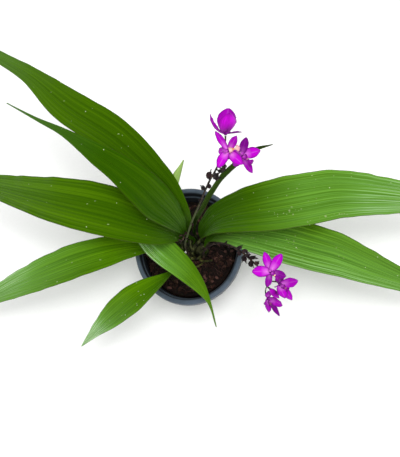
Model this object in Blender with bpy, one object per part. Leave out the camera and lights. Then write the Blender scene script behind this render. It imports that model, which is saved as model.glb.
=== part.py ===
"""A potted ground orchid: pleated leaves, two flower stalks and six magenta blooms in a nursery pot.

Sizes below are millimetres. +X is the plant's right, +Y its back, +Z up, and the origin is the
middle of the pot's base.
"""

import math
from collections import namedtuple

import bmesh
import bpy
import numpy as np
from mathutils import Matrix, Quaternion, Vector

MM = 0.001  # one millimetre in scene units
GAP = 0.3  # clearance between neighbouring pieces

# Pot
POT_HEIGHT = 125.0
POT_RIM_R = 72.0
POT_BASE_R = 47.0
POT_WALL = 1.4
POT_FLOOR = 1.6
POT_SKIRT = 13.0  # depth of the rolled rim's skirt
POT_LEDGE = 11.0  # the stacking ledge lies this far below the rim
POT_OVAL = 0.045  # the soft rim is this much narrower in X and wider in Y
POT_SEGMENTS = 28
DRAIN_HOLES = 6
DRAIN_R = 4.5
DRAIN_RING_R = 32.0

# Soil
SOIL_TOP = 105.0
SOIL_RINGS = (54.0, 44.0, 34.0, 24.0, 12.0)
SOIL_RELIEF = 1.4
SOIL_JITTER = 0.8
SOIL_SEED = 7

# Leaves
BLADE = 0.8  # thickness of a leaf
STALK_HALF_WIDTH = 2.6  # half width of a leaf where it leaves its bulb
STALK_FOLD = 62.0  # degrees that its sides are folded up there
OPEN_LENGTH = 110.0  # distance along which the fold opens out
PLEAT_SHARE = 0.05  # pleat depth as a share of the half width
SEAT_RUN = 8.0  # a leaf or stalk leaves its bulb straight for this far

# Blooms
TEPAL = 0.7  # thickness of sepals, petals and lip
CORE_R = 2.3
CALLUS_R = 0.75

Bulb = namedtuple("Bulb", "centre radii")
Leaf = namedtuple("Leaf", "bulb azimuth ring fold strips stations route")
Scape = namedtuple("Scape", "bulb azimuth ring radius route")
Bloom = namedtuple("Bloom", "centre face lip tepals cup shut")

BULBS = {
    "main": Bulb((-3, 0, 106), (12, 12, 13)),
    "right": Bulb((15, -3, 105), (10, 10, 12)),
    "left": Bulb((-34, 11, 104), (9, 9, 11)),
    "front": Bulb((-11, -18, 103), (6.5, 6.5, 8)),
}

# Each leaf's route runs from above its bulb to its tip, as (x, y, z, half width).
LEAVES = {
    "leaf_back_left": Leaf("main", 95, 6.0, 16, 8, 16, (
        (1, 10, 150, 4), (7, 11, 180, 5), (9, 13, 203, 6), (5, 23, 224, 8.5), (-7, 42, 243, 12.5),
        (-24, 58, 257, 17), (-60, 91, 271, 21.5), (-120, 134, 271, 20.5), (-171, 181, 257, 11.3),
        (-219, 218, 235, 7.8), (-287, 275, 198, 4), (-365, 336, 150, 0.5))),
    "leaf_upper_left": Leaf("main", 30, 6.0, 14, 8, 17, (
        (3, 5, 160, 3.6), (3.5, 2.5, 196, 4.8), (1, 5, 221, 10.5), (-6, 11, 243, 16), (-15, 17, 263, 20),
        (-30, 30, 288, 20), (-51, 46, 304, 15.6), (-73, 60, 313, 11.6), (-86, 69, 315, 8.7),
        (-110, 86, 313, 4.7), (-141, 105, 303, 2.3), (-191, 140, 275, 0.5))),
    "leaf_left": Leaf("main", 172, 6.0, 14, 8, 17, (
        (-6, 1, 150, 4), (-4, -1, 176, 5), (-7, -2, 197, 10), (-20, -1, 221, 20), (-45, 4, 241, 26.5),
        (-72, 12, 249, 30), (-101, 20, 249, 30), (-135, 30, 242, 27.5), (-176, 44, 226, 22),
        (-221, 61, 203, 16), (-285, 85, 163, 8), (-356, 106, 120, 0.5))),
    "leaf_lower_left": Leaf("main", 228, 6.0, 16, 8, 16, (
        (-16, -6, 136, 4.5), (-27, -5, 150, 6.5), (-47, -9, 166, 10.5), (-69, -14, 179, 15),
        (-91, -20, 186, 19), (-123, -28, 184, 21.5), (-159, -37, 172, 21), (-200, -46, 150, 18),
        (-245, -55, 120, 13), (-297, -66, 84, 7), (-350, -75, 48, 0.5))),
    "leaf_front": Leaf("left", 200, 5.0, 18, 6, 13, (
        (-41, 13, 140, 3.6), (-42, 12, 162, 6), (-41, 1, 180, 15), (-33, -8, 185, 17),
        (-18.5, -22.5, 187, 17), (-1.5, -37.5, 184, 14.5), (10, -49, 172, 11.2), (20, -61, 157, 7),
        (26, -71, 145, 3.5), (33, -101, 106, 0.5))),
    "leaf_low_front": Leaf("front", 250, 3.5, 20, 6, 12, (
        (-15, -29, 127, 2.6), (-23, -41, 143, 4.2), (-39, -56, 158, 11.5), (-59, -70, 159, 17),
        (-88, -88, 144, 15.5), (-117, -104, 116, 8), (-145, -121, 84, 0.5))),
    "leaf_young_back": Leaf("left", 90, 5.0, 24, 6, 9, (
        (-33, 19, 135, 2.8), (-30, 23, 166, 5), (-20, 36, 187, 7.5), (-10, 53, 197, 7),
        (-3, 68, 201, 4.8), (5, 87, 203, 0.5))),
    "leaf_furled": Leaf("right", 105, 5.5, 46, 4, 15, (
        (12, 13, 148, 3.0), (16, 17, 172, 3.4), (21, 18, 195, 3.6), (30, 23, 215, 3.8), (41, 35, 232, 3.9),
        (55, 49, 246, 3.9), (73, 63, 254, 3.7), (87, 74, 256, 3), (113, 85, 250, 0.5))),
    "leaf_upper_right": Leaf("right", 30, 5.5, 15, 8, 17, (
        (21, 4, 143, 5), (28, 9, 170, 12.5), (42, 14, 190, 18), (62, 17, 206, 23), (90, 18, 221, 28),
        (122, 20, 230, 31), (153, 25, 229, 31), (183, 31, 221, 29.5), (214, 34, 206, 26.5),
        (257, 37, 180, 21), (295, 39, 152, 16), (347, 41, 112, 8.5), (401, 42, 66, 0.5))),
    "leaf_lower_right": Leaf("right", 330, 5.5, 15, 8, 16, (
        (25, -3, 134, 4.4), (35, 4, 148, 10), (56, 4, 165, 16), (86, -2, 178, 22.5),
        (120, -11, 184, 27.5), (151, -20, 182, 28), (182, -28, 173, 26), (214, -38, 156, 21.5),
        (258, -50, 126, 14.5), (305, -62, 92, 8), (362, -76, 50, 0.5))),
}

# Flower stalks: routes from above their bulbs to their tips, as (x, y, z).
SCAPES = {
    "scape_back": Scape("main", 290, 7.0, 1.3, (
        (0, -8, 150), (8.5, -1, 190), (20, 6.5, 230), (31.5, 12.5, 265), (41, 18, 295), (49, 23, 318),
        (57, 27, 338), (62.5, 31, 351), (67, 35, 362), (70, 41, 373))),
    "scape_front": Scape("right", 290, 6.5, 1.3, (
        (20, -13, 132), (30, -9, 158), (43, -11, 180), (60, -20, 205), (76, -33, 222), (87, -45, 233),
        (98, -57, 239), (106, -68, 238))),
}

# Blooms: the face points out of the flower and the lip towards its lip. The tepals are the top sepal,
# two petals and two side sepals, as (turn, rise, curl, length, half width). The turn is about the
# face, with the lip at 270, the rise is from flat, and the curl bends the tip inwards, in degrees.
# Then come the degrees that the tepals' sides are folded up, and how far the lip is shut, from 0,
# spread, to 1, folded up inside a closed flower.
BLOOMS = {
    "bloom_back_open": Bloom((75, 31, 388), (-0.10, -0.30, 0.95), (1, 0.15, 0.1), (
        (80, -52, 0, 17, 4.2), (140, 18, -24, 18.5, 5.0), (18, 22, 22, 22, 3.3), (217, 12, -30, 19, 5.2),
        (313, 26, 10, 17, 3.9)), 20, 0.0),
    "bloom_back_top": Bloom((72.6, 49.8, 386), (0.05, 0.88, 0.46), (-0.73, -0.28, 0.62), (
        (50, 62, 40, 19, 6.0), (342, 62, 80, 24, 10.4), (130, 60, 30, 25.5, 10.4),
        (198, 48, 80, 26.5, 3.1), (82, 2, 0, 17, 2.6)), 44, 1.0),
    "bloom_back_right": Bloom((86.3, 32.2, 370), (0.25, -0.20, 0.94), (0.74, -0.67, 0.1), (
        (98, -58, 0, 16, 4.4), (31, 32, 20, 18.5, 4.4), (195, -52, 0, 16, 4.4), (325, 26, -14, 18.5, 5.6),
        (260, -20, -16, 20.5, 3.6)), 20, 0.0),
    "bloom_front_open": Bloom((108, -62.3, 260), (0.06, -0.08, 0.99), (0.64, -0.77, 0), (
        (67, 16, -16, 21, 4.6), (16, 14, -16, 22, 5.4), (141, 12, -16, 19.5, 6.2), (217, -32, -16, 17, 3.8),
        (304, -20, -10, 17, 4.4)), 16, 0.0),
    "bloom_front_right": Bloom((117.2, -72.3, 239), (0.45, -0.45, 0.77), (0.7, -0.5, -0.5), (
        (47, 22, 20, 12, 4.6), (323, 24, 8, 19, 6.0), (225, -62, 10, 12, 4.4), (222, 50, 20, 17, 6.4),
        (256, 10, 8, 22.5, 4.4)), 22, 0.6),
    "bloom_front_low": Bloom((103.3, -83.9, 214), (0.30, -0.55, 0.55), (-0.3, -0.6, -0.6), (
        (110, 14, 20, 10, 4.0), (9, 58, 26, 18.5, 5.4), (285, -30, 20, 15, 4.4), (311, 38, 10, 22.5, 2.9),
        (252, 64, 24, 17.5, 4.6)), 22, 1.0),
}
BUD = "bud_front"
BUD_ROUTE = (
    (105.5, -76, 233.5, 1.0), (108, -78.4, 232, 3.0), (110.5, -81, 230.5, 3.9),
    (113, -83.6, 229, 3.0), (115.5, -86, 227.5, 0.5))

# Which stalk carries each bloom, and how far along the stalk its own short stem leaves.
BLOOM_STEMS = {
    "scape_back": (
        ("bloom_back_open", 0.955), ("bloom_back_top", 0.985), ("bloom_back_right", 0.90)),
    "scape_front": (
        ("bloom_front_open", 0.90), ("bloom_front_right", 0.98), ("bloom_front_low", 0.94), (BUD, 0.96)),
}

# Withered flowers: share of the stalk's length, turn round it (0 at its left, 90 on top), reach, and
# size against a common one.
WITHERED = {
    "scape_back": (
        (0.70, 20, 4, 1.0), (0.745, 170, 4, 1.0), (0.79, 8, 5, 1.35), (0.82, 195, 7, 1.2),
        (0.85, 150, 9, 1.2), (0.87, 190, 8, 1.1), (0.89, 180, 11, 1.0), (0.915, 165, 11, 1.0)),
    "scape_front": (
        (0.66, 20, 4, 1.0), (0.69, 165, 4, 1.1), (0.72, 30, 4, 1.2), (0.745, 190, 5, 1.2),
        (0.77, 80, 4, 1.15), (0.80, 10, 4, 1.2), (0.825, 170, 5, 1.2), (0.86, 60, 4, 1.0)),
}
# Bracts: from and to which share of the stalk's length, and how many.
BRACTS = {"scape_back": (0.28, 0.62, 4), "scape_front": (0.18, 0.64, 8)}
WITHERED_RADII = (2.6, 1.9, 3.8)  # a shrivelled flower of the common size
GOLDEN_ANGLE = 137.5

# Roots and dry stubs in the crown, as a radius and a route of (x, y, z).
CROWN_STRANDS = (
    (2.2, ((-3, 0, 101), (5, -3, 99), (15, -3, 101))),
    (2.2, ((-34, 11, 99), (-19, 7, 98), (-3, 0, 99))),
    (2.0, ((-11, -18, 99), (-8, -10, 98), (-3, 0, 99))),
    (1.5, ((4, -6, 104), (6.5, -14, 113), (5, -17.5, 127))),
    (1.4, ((14, -11, 104), (14, -17, 114), (21, -20, 121), (30, -19.5, 123))),
    (1.1, ((-7, -8, 102), (0, -22, 107.5), (9, -24, 108), (16, -19, 106), (17, -10, 102))),
    (1.0, ((-13, 2, 103), (-19, -5, 108), (-24, -10, 107), (-28, -14, 102))),
    (0.9, ((22, 2, 102), (29, 6, 107.5), (36, 7, 107), (41, 10, 102))),
)
SHEATHS = {"main": (62, 134, 262), "right": (67, 245), "left": (145, 300), "front": (165, 330)}


def add_material(name, colour, roughness, sheen=0.0):
    """A Principled material of one linear colour."""
    made = bpy.data.materials.new(name)
    made.use_nodes = True
    shader = made.node_tree.nodes["Principled BSDF"]
    shader.inputs["Base Color"].default_value = (*colour, 1.0)
    shader.inputs["Roughness"].default_value = roughness
    shader.inputs["Metallic"].default_value = 0.0
    shader.inputs["Coat Weight"].default_value = sheen
    made.diffuse_color = (*colour, 1.0)
    return made


def add_object(name, bm, finish=None):
    """Turns a bmesh in millimetres into a linked object in metres."""
    bmesh.ops.scale(bm, vec=(MM, MM, MM), verts=bm.verts)
    mesh = bpy.data.meshes.new(name)
    bm.to_mesh(mesh)
    bm.free()
    made = bpy.data.objects.new(name, mesh)
    bpy.context.scene.collection.objects.link(made)
    if finish:
        mesh.materials.append(finish)
    return made


def realise(piece):
    """Applies the modifiers of a piece, or turns a curve into a mesh, in place of the old object."""
    graph = bpy.context.evaluated_depsgraph_get()
    mesh = bpy.data.meshes.new_from_object(piece.evaluated_get(graph))
    name = piece.name
    finish = list(piece.data.materials)
    bpy.data.objects.remove(piece)
    mesh.name = name
    mesh.materials.clear()
    for entry in finish:
        mesh.materials.append(entry)
    made = bpy.data.objects.new(name, mesh)
    bpy.context.scene.collection.objects.link(made)
    return made


def fuse(name, pieces, finish):
    """Joins overlapping pieces into one body with a Boolean union."""
    pieces = [realise(piece) for piece in pieces]
    body = pieces[0]
    rest = bpy.data.collections.new(name + "_pieces")
    bpy.context.scene.collection.children.link(rest)
    for piece in pieces[1:]:
        bpy.context.scene.collection.objects.unlink(piece)
        rest.objects.link(piece)
    union = body.modifiers.new("union", "BOOLEAN")
    union.operation = "UNION"
    union.operand_type = "COLLECTION"
    union.collection = rest
    union.solver = "EXACT"
    body = realise(body)
    for piece in pieces[1:]:
        bpy.data.objects.remove(piece)
    bpy.data.collections.remove(rest)
    body.name = name
    body.data.materials.clear()
    body.data.materials.append(finish)
    return body


def smooth(piece, degrees=40.0):
    """Shades a piece smooth, with edges sharper than an angle left crisp."""
    piece.data.shade_smooth()
    piece.data.set_sharp_from_angle(angle=math.radians(degrees))


def ease(share):
    """Smooth step from 0 to 1."""
    share = min(max(share, 0.0), 1.0)
    return share * share * (3.0 - 2.0 * share)


def flow(route, stations, crowding=1.0):
    """Points along a smooth curve through a route, closer together at its start by the crowding."""
    route = np.array(route, float)
    chord = np.linalg.norm(np.diff(route[:, :3], axis=0), axis=1)
    knots = np.concatenate([[0.0], np.cumsum(chord)])
    slope = np.diff(route, axis=0) / chord[:, None]
    tangent = np.empty_like(route)
    tangent[0], tangent[-1] = slope[0], slope[-1]
    before, after = chord[:-1, None], chord[1:, None]
    tangent[1:-1] = (slope[:-1] * after + slope[1:] * before) / (before + after)
    fine = np.linspace(0.0, knots[-1], 600)
    index = np.clip(np.searchsorted(knots, fine, side="right") - 1, 0, len(chord) - 1)
    length = chord[index, None]
    t = (fine - knots[index])[:, None] / length
    curve = (
        (2 * t**3 - 3 * t**2 + 1) * route[index]
        + (t**3 - 2 * t**2 + t) * length * tangent[index]
        + (3 * t**2 - 2 * t**3) * route[index + 1]
        + (t**3 - t**2) * length * tangent[index + 1]
    )
    run = np.concatenate([[0.0], np.cumsum(np.linalg.norm(np.diff(curve[:, :3], axis=0), axis=1))])
    wanted = run[-1] * np.linspace(0.0, 1.0, stations) ** crowding
    return np.stack([np.interp(wanted, run, column) for column in curve.T], axis=1), wanted


def seat_on(bulb, azimuth, ring):
    """Where a leaf or stalk leaves a bulb: a point just off its skin, and the way the skin faces."""
    centre, radii = Vector(BULBS[bulb].centre), Vector(BULBS[bulb].radii)
    turn = math.radians(azimuth)
    offset = Vector((ring * math.cos(turn), ring * math.sin(turn), 0.0))
    offset.z = radii.z * math.sqrt(1.0 - (offset.x / radii.x) ** 2 - (offset.y / radii.y) ** 2)
    outward = Vector(offset[i] / radii[i] ** 2 for i in range(3)).normalized()
    return centre + offset + outward * GAP, outward


def rooted(spec, *tail):
    """A route with its first two points at its seat on the bulb."""
    seat, outward = seat_on(spec.bulb, spec.azimuth, spec.ring)
    return [(*seat, *tail), (*(seat + outward * SEAT_RUN), *tail), *spec.route]


def sheet(name, rows, folds, strips, up, thickness, pleat, finish, start=None):
    """A thin blade along rows of (x, y, z, half width), folded up at both sides and pleated.

    The widest row lies level across the direction called up, and the rest follow it without twist.
    A start direction sets the blade's first edge square to it.
    """
    centres = [Vector(row[:3]) for row in rows]
    widths = [float(row[3]) for row in rows]
    count = len(rows)
    ahead = [(centres[min(i + 1, count - 1)] - centres[max(i - 1, 0)]).normalized() for i in range(count)]
    ahead[0] = start or (centres[1] - centres[0]).normalized()
    widest = widths.index(max(widths))
    across = [None] * count
    across[widest] = Vector(up).cross(ahead[widest]).normalized()
    for i in range(widest + 1, count):
        across[i] = ahead[i - 1].rotation_difference(ahead[i]) @ across[i - 1]
    for i in range(widest - 1, -1, -1):
        across[i] = ahead[i + 1].rotation_difference(ahead[i]) @ across[i + 1]
    bm = bmesh.new()
    grid = []
    for i in range(count - 1):
        raised = ahead[i].cross(across[i]).normalized()
        grid.append([
            bm.verts.new(centres[i] + across[i] * side + raised * lift)
            for side, lift in section(widths[i], folds[i], strips, pleat)
        ])
    for lower, upper in zip(grid, grid[1:]):
        for j in range(strips):
            corners = lower[j], lower[j + 1], upper[j + 1], upper[j]
            if j < strips // 2:
                bm.faces.new((corners[0], corners[1], corners[2]))
                bm.faces.new((corners[0], corners[2], corners[3]))
            else:
                bm.faces.new((corners[0], corners[1], corners[3]))
                bm.faces.new((corners[1], corners[2], corners[3]))
    tip = bm.verts.new(centres[-1])
    for j in range(strips):
        bm.faces.new((grid[-1][j], grid[-1][j + 1], tip))
    blade = add_object(name, bm, finish)
    wall = blade.modifiers.new("thickness", "SOLIDIFY")
    wall.thickness = thickness * MM
    wall.offset = 0.0
    wall.use_even_offset = True
    wall.use_quality_normals = True
    return blade


def section(half_width, fold, strips, pleat):
    """Points across a blade, from right edge to left: how far aside and how far up each lies."""
    half = strips // 2
    step = half_width / half
    side, lift = [0.0], [0.0]
    for k in range(half):
        lean = math.radians(fold) * min(1.0, (k + 0.5) / (0.4 * half))
        side.append(side[-1] + step * math.cos(lean))
        lift.append(lift[-1] + step * math.sin(lean))
    depth = pleat * half_width
    points = [(-side[k], lift[k] + depth * (k % 2)) for k in range(half, 0, -1)]
    return points + [(side[k], lift[k] + depth * (k % 2)) for k in range(half + 1)]


def rod(name, rows, finish, sides=6):
    """A round strand along rows of (x, y, z, radius)."""
    curve = bpy.data.curves.new(name, "CURVE")
    curve.dimensions = "3D"
    curve.bevel_depth = MM
    curve.bevel_resolution = (sides - 4) // 2
    curve.use_fill_caps = True
    spline = curve.splines.new("POLY")
    spline.points.add(len(rows) - 1)
    for point, row in zip(spline.points, rows):
        point.co = (row[0] * MM, row[1] * MM, row[2] * MM, 1.0)
        point.radius = row[3]
    curve.materials.append(finish)
    made = bpy.data.objects.new(name, curve)
    bpy.context.scene.collection.objects.link(made)
    return made


def ellipsoid(name, centre, radii, finish, around=10, rings=6, turn=None):
    """A rounded body of three radii."""
    bm = bmesh.new()
    bmesh.ops.create_uvsphere(bm, u_segments=around, v_segments=rings, radius=1.0)
    bmesh.ops.scale(bm, vec=radii, verts=bm.verts)
    if turn:
        bmesh.ops.rotate(bm, cent=(0, 0, 0), matrix=turn.to_matrix(), verts=bm.verts)
    bmesh.ops.translate(bm, vec=centre, verts=bm.verts)
    return add_object(name, bm, finish)


def turned(name, profile, finish):
    """A profile of (radius, height) pairs spun round Z, and made oval in step with its height."""
    bm = bmesh.new()
    rings = []
    for radius, z in profile:
        if radius == 0.0:
            rings.append([bm.verts.new((0.0, 0.0, z))])
            continue
        ring = []
        for k in range(POT_SEGMENTS):
            angle = 2.0 * math.pi * k / POT_SEGMENTS
            squeeze = POT_OVAL * z / POT_HEIGHT
            x = radius * math.cos(angle) * (1.0 - squeeze)
            y = radius * math.sin(angle) * (1.0 + squeeze)
            ring.append(bm.verts.new((x, y, z)))
        rings.append(ring)
    for lower, upper in zip(rings, rings[1:]):
        for k in range(POT_SEGMENTS):
            after = (k + 1) % POT_SEGMENTS
            corners = [lower[k % len(lower)], lower[after % len(lower)]]
            corners += [upper[after % len(upper)], upper[k % len(upper)]]
            bm.faces.new(list(dict.fromkeys(corners)))
    bmesh.ops.recalc_face_normals(bm, faces=bm.faces)
    return add_object(name, bm, finish)


def subtract(piece, cutter):
    """Cuts a helper out of a piece, and removes the helper."""
    cut = piece.modifiers.new("cut", "BOOLEAN")
    cut.operation = "DIFFERENCE"
    cut.object = cutter
    cut.solver = "EXACT"
    piece = realise(piece)
    bpy.data.objects.remove(cutter)
    return piece


def pot_profile():
    """Half section of the pot, from the middle of its base up the outside and down the inside."""
    top, lip = POT_HEIGHT, POT_RIM_R
    shoulder = top - POT_SKIRT
    ledge = top - POT_LEDGE
    outer = [(0.0, 0.0), (POT_BASE_R - 1.0, 0.0), (POT_BASE_R, 1.2), (lip - 8.2, shoulder - 2.0)]
    under = [(lip - 5.2, top - 5.0), (lip - 3.6, top - 2.6), (lip - 1.7, top - 4.2)]
    skirt = [(lip - 1.5, shoulder), (lip - 0.1, shoulder), (lip, top - 4.5), (lip - 0.9, top - 1.5)]
    roll = [(lip - 3.0, top), (lip - 5.2, top - 0.6), (lip - 6.5, top - 2.4), (lip - 6.9, top - 6.0)]
    inner = [(lip - 7.2, ledge), (lip - 9.2, ledge - 1.2), (POT_BASE_R - POT_WALL, POT_FLOOR + 0.8)]
    floor = [(POT_BASE_R - POT_WALL - 1.2, POT_FLOOR), (0.0, POT_FLOOR)]
    return outer + under + skirt + roll + inner + floor


def build_pot(finish):
    """The thin-walled pot, its rolled rim and its drain holes."""
    pot = turned("pot", pot_profile(), finish)
    bm = bmesh.new()
    for k in range(DRAIN_HOLES):
        angle = 2.0 * math.pi * (k + 0.5) / DRAIN_HOLES
        place = Matrix.Translation((DRAIN_RING_R * math.cos(angle), DRAIN_RING_R * math.sin(angle), 0.0))
        bmesh.ops.create_cone(
            bm, cap_ends=True, segments=10, radius1=DRAIN_R, radius2=DRAIN_R,
            depth=4.0 * POT_FLOOR, matrix=place,
        )
    pot = subtract(pot, add_object("drain_cutter", bm))
    smooth(pot)
    return pot


def inner_radius(z):
    """Radius of the pot's inner wall at a height below the ledge."""
    low = POT_FLOOR + 0.8
    high = POT_HEIGHT - POT_LEDGE - 1.2
    share = (z - low) / (high - low)
    return POT_BASE_R - POT_WALL + share * (POT_RIM_R - 9.2 - POT_BASE_R + POT_WALL)


def build_soil(finish, crown):
    """The bark and coir that fills the pot, rough on top, with pits where the crown stands."""
    foot = POT_FLOOR + GAP
    clear = 2.0 * GAP
    profile = [(0.0, foot), (POT_BASE_R - POT_WALL - 2.0, foot)]
    profile += [(inner_radius(foot + 2.0) - clear, foot + 2.0)]
    profile += [(inner_radius(SOIL_TOP - 2.0) - clear, SOIL_TOP - 2.0)]
    profile += [(radius, SOIL_TOP) for radius in SOIL_RINGS] + [(0.0, SOIL_TOP)]
    soil = turned("soil", profile, finish)
    draw = np.random.default_rng(SOIL_SEED)
    for vertex in soil.data.vertices:
        if vertex.co.z > (SOIL_TOP - 1.0) * MM:
            vertex.co.z += draw.uniform(-SOIL_RELIEF, SOIL_RELIEF) * MM
            vertex.co.x += draw.uniform(-SOIL_JITTER, SOIL_JITTER) * MM
            vertex.co.y += draw.uniform(-SOIL_JITTER, SOIL_JITTER) * MM
    return subtract(soil, crown)


def crown_pieces(grow, finish):
    """Bulbs and the rhizome, roots and stubs among them, all thicker by a clearance."""
    pieces = []
    for name, bulb in BULBS.items():
        radii = [radius + grow for radius in bulb.radii]
        pieces.append(ellipsoid("bulb_" + name, bulb.centre, radii, finish, 10, 8))
    for radius, route in CROWN_STRANDS:
        rows, _ = flow([(*point, radius) for point in route], 5)
        rows[:, 3] += grow
        rows[-1, :3] += (rows[-1, :3] - rows[-2, :3]) * 0.2 * grow
        pieces.append(rod("strand", rows, finish))
    return pieces


def dry_sheath(bulb, azimuth, finish):
    """A dry scale that hugs the side of a bulb, from above the soil to its shoulder."""
    centre, radii = Vector(BULBS[bulb].centre), Vector(BULBS[bulb].radii)
    turn = math.radians(azimuth)
    out = Vector((math.cos(turn), math.sin(turn), 0.0))
    low, high = SOIL_TOP + 2.4, centre.z + 0.72 * radii.z
    route = []
    for share, proud, wide in ((0.0, -1.8, 0.32), (0.35, 0.6, 0.40), (0.7, 1.2, 0.28), (1.0, 2.4, 0.03)):
        z = low + share * (high - low)
        reach = radii.x * math.sqrt(1.0 - ((z - centre.z) / radii.z) ** 2) + proud
        route.append((*(centre + out * reach)[:2], z, radii.x * wide))
    return sheet("sheath", route, [-20.0] * len(route), 2, -out, 1.0, 0.0, finish)


def build_leaf(name, spec, finish):
    """One pleated leaf, from its folded stalk on the bulb to its long tip."""
    rows, run = flow(rooted(spec, STALK_HALF_WIDTH), spec.stations, 1.2)
    _, outward = seat_on(spec.bulb, spec.azimuth, spec.ring)
    folds = [STALK_FOLD + (spec.fold - STALK_FOLD) * ease(length / OPEN_LENGTH) for length in run]
    leaf = sheet(name, rows, folds, spec.strips, (0, 0, 1), BLADE, PLEAT_SHARE, finish, outward)
    leaf.data.shade_smooth()
    return leaf


def bloom_frame(spec):
    """Matrix from a bloom's own axes (right, top, face) to the plant's."""
    face = Vector(spec.face).normalized()
    top = -Vector(spec.lip)
    top = (top - face * top.dot(face)).normalized()
    turn = Matrix((top.cross(face), top, face)).transposed()
    return Matrix.Translation(spec.centre) @ turn.to_4x4()


def placed(frame, rows):
    """Rows of (x, y, z, size) taken from a bloom's own axes to the plant's."""
    return [(*(frame @ Vector(row[:3])), row[3]) for row in rows]


def tepal_rows(tepal, reach, rise):
    """Rows along a sepal or petal that leaves the flower's core this far out and up."""
    turn, opening, curl, length, half_width = tepal
    turn = math.radians(turn)
    rows, steps = [], 4
    for k in range(steps + 1):
        t = k / steps
        width = half_width * (0.30 + 0.70 * math.sin(math.pi * (t * 0.86 + 0.06)) ** 0.9)
        width = width if k < steps else 0.3
        rows.append((reach * math.cos(turn), reach * math.sin(turn), rise, width))
        lean = math.radians(opening + curl * (t + 0.5 / steps - 0.5))
        reach += length / steps * math.cos(lean)
        rise += length / steps * math.sin(lean)
    return rows


def build_tepals(name, spec, petal):
    """Three sepals behind two petals round the flower's core and column, in one body."""
    frame = bloom_frame(spec)
    pieces = [ellipsoid("core", spec.centre, (CORE_R,) * 3, petal, 6, 4)]
    for k, tepal in enumerate(spec.tepals):
        reach, rise = (0.6, 0.5) if k in (1, 2) else (1.5, -0.9)
        rows = placed(frame, tepal_rows(tepal, reach, rise))
        pieces.append(sheet("tepal", rows, [spec.cup] * len(rows), 4, spec.face, TEPAL, 0.0, petal))
    column = ((0, 0.3, 0.6, 1.6), (0, 1.6, 3.6, 1.5), (0, 1.9, 6.2, 1.6), (0, 0.8, 8.6, 2.1))
    pieces.append(rod("column", placed(frame, column), petal, 4))
    smooth(fuse(name + "_tepals", pieces, petal), 60)


def lip_rows(spec):
    """Rows of (x, y, z, half width, fold) along the lip in the bloom's own axes.

    It rises beside the column with its side lobes folded up, narrows to a claw and flares at its
    end. Where the flower is closed it stays inside.
    """
    clear = CORE_R + TEPAL / 2.0 + 1.3 * GAP
    start = Vector((0.0, -0.6 + 0.15 * spec.shut, 0.8 + 0.1 * spec.shut)) * clear
    spread = (
        (-2.9, 3.2, 3.6, 66), (-4.5, 4.5, 3.3, 60), (-6.6, 5.9, 1.0, 16), (-9.0, 7.0, 1.2, 8),
        (-11.6, 7.4, 3.2, 6), (-13.2, 7.0, 0.4, 6))
    folded = (
        (-2.6, 3.7, 2.3, 58), (-3.1, 5.4, 2.1, 54), (-3.4, 7.2, 1.0, 16), (-3.6, 8.8, 1.2, 8),
        (-3.5, 10.2, 2.3, 8), (-3.1, 11.4, 0.4, 8))
    rows = [(0.0, start.y, start.z, 1.3 - 0.5 * spec.shut, 24)]
    for flat, closed in zip(spread, folded):
        rows.append((0.0, *(a + (b - a) * spec.shut for a, b in zip(flat, closed))))
    return rows


def build_lip(name, spec, finish):
    """The lip: two side lobes that stand by the column, and a claw that flares at its end."""
    frame = bloom_frame(spec)
    rows = [(*(frame @ Vector(row[:3])), *row[3:]) for row in lip_rows(spec)]
    rows, _ = flow(rows, 9)
    lip = sheet(name + "_lip", rows, rows[:, 4], 4, spec.face, TEPAL, 0.0, finish)
    lip.data.shade_smooth()


def build_callus(name, spec, finish):
    """The two-lobed yellow swelling on the lip's claw."""
    frame = bloom_frame(spec)
    inner, outer = (Vector(row[:3]) for row in lip_rows(spec)[3:5])
    along = (outer - inner).normalized()
    lifted = Vector((0.0, along.z, -along.y))
    middle = inner + along * 0.6 + lifted * (TEPAL / 2.0 + 1.5 * GAP + CALLUS_R)
    bumps = []
    for side in (-1.0, 1.0):
        centre = frame @ (middle + Vector((side * 0.7 * CALLUS_R, 0, 0)))
        bumps.append(ellipsoid("bump", centre, (CALLUS_R,) * 3, finish, 6, 4))
    smooth(fuse(name + "_callus", bumps, finish), 60)


def withered_flower(at, away, ahead, length, size, finish):
    """A dry flower: a short bent stem with a shrivelled, pointed end."""
    bend = at + away * length * 0.6 + ahead * length * 0.3
    heading = (away * 0.5 + ahead).normalized()
    stem = rod("dry_stem", [(*at, 1.2), (*bend, 1.2)], finish, 4)
    turn = Vector((0, 0, 1)).rotation_difference(heading)
    radii = [radius * size for radius in WITHERED_RADII]
    head = ellipsoid("dry_head", bend + heading * 1.5, radii, finish, 6, 4, turn)
    return [stem, head]


def bract(at, away, ahead, size, finish):
    """A small dry bract that stands up and out from the stalk."""
    tip = at + away * size + ahead * size * 0.6
    return rod("bract", [(*at, 0.9), (*(at.lerp(tip, 0.6)), 0.8), (*tip, 0.25)], finish, 4)


def sideways(ahead, azimuth):
    """A direction square to a stalk, turned round it by an azimuth in degrees."""
    level = Vector((0, 0, 1)).cross(ahead)
    level = level.normalized() if level.length > 0.01 else Vector((1, 0, 0))
    return Quaternion(ahead, math.radians(azimuth)) @ level


def stem_end(name):
    """Where a bloom's or bud's own stem ends, just off its back, and the way that it faces."""
    if name == BUD:
        foot, ahead = Vector(BUD_ROUTE[0][:3]), Vector(BUD_ROUTE[1][:3])
        face = (ahead - foot).normalized()
        return foot - face * 1.2 * GAP, face
    face = Vector(BLOOMS[name].face).normalized()
    return Vector(BLOOMS[name].centre) - face * (CORE_R + GAP), face


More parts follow.
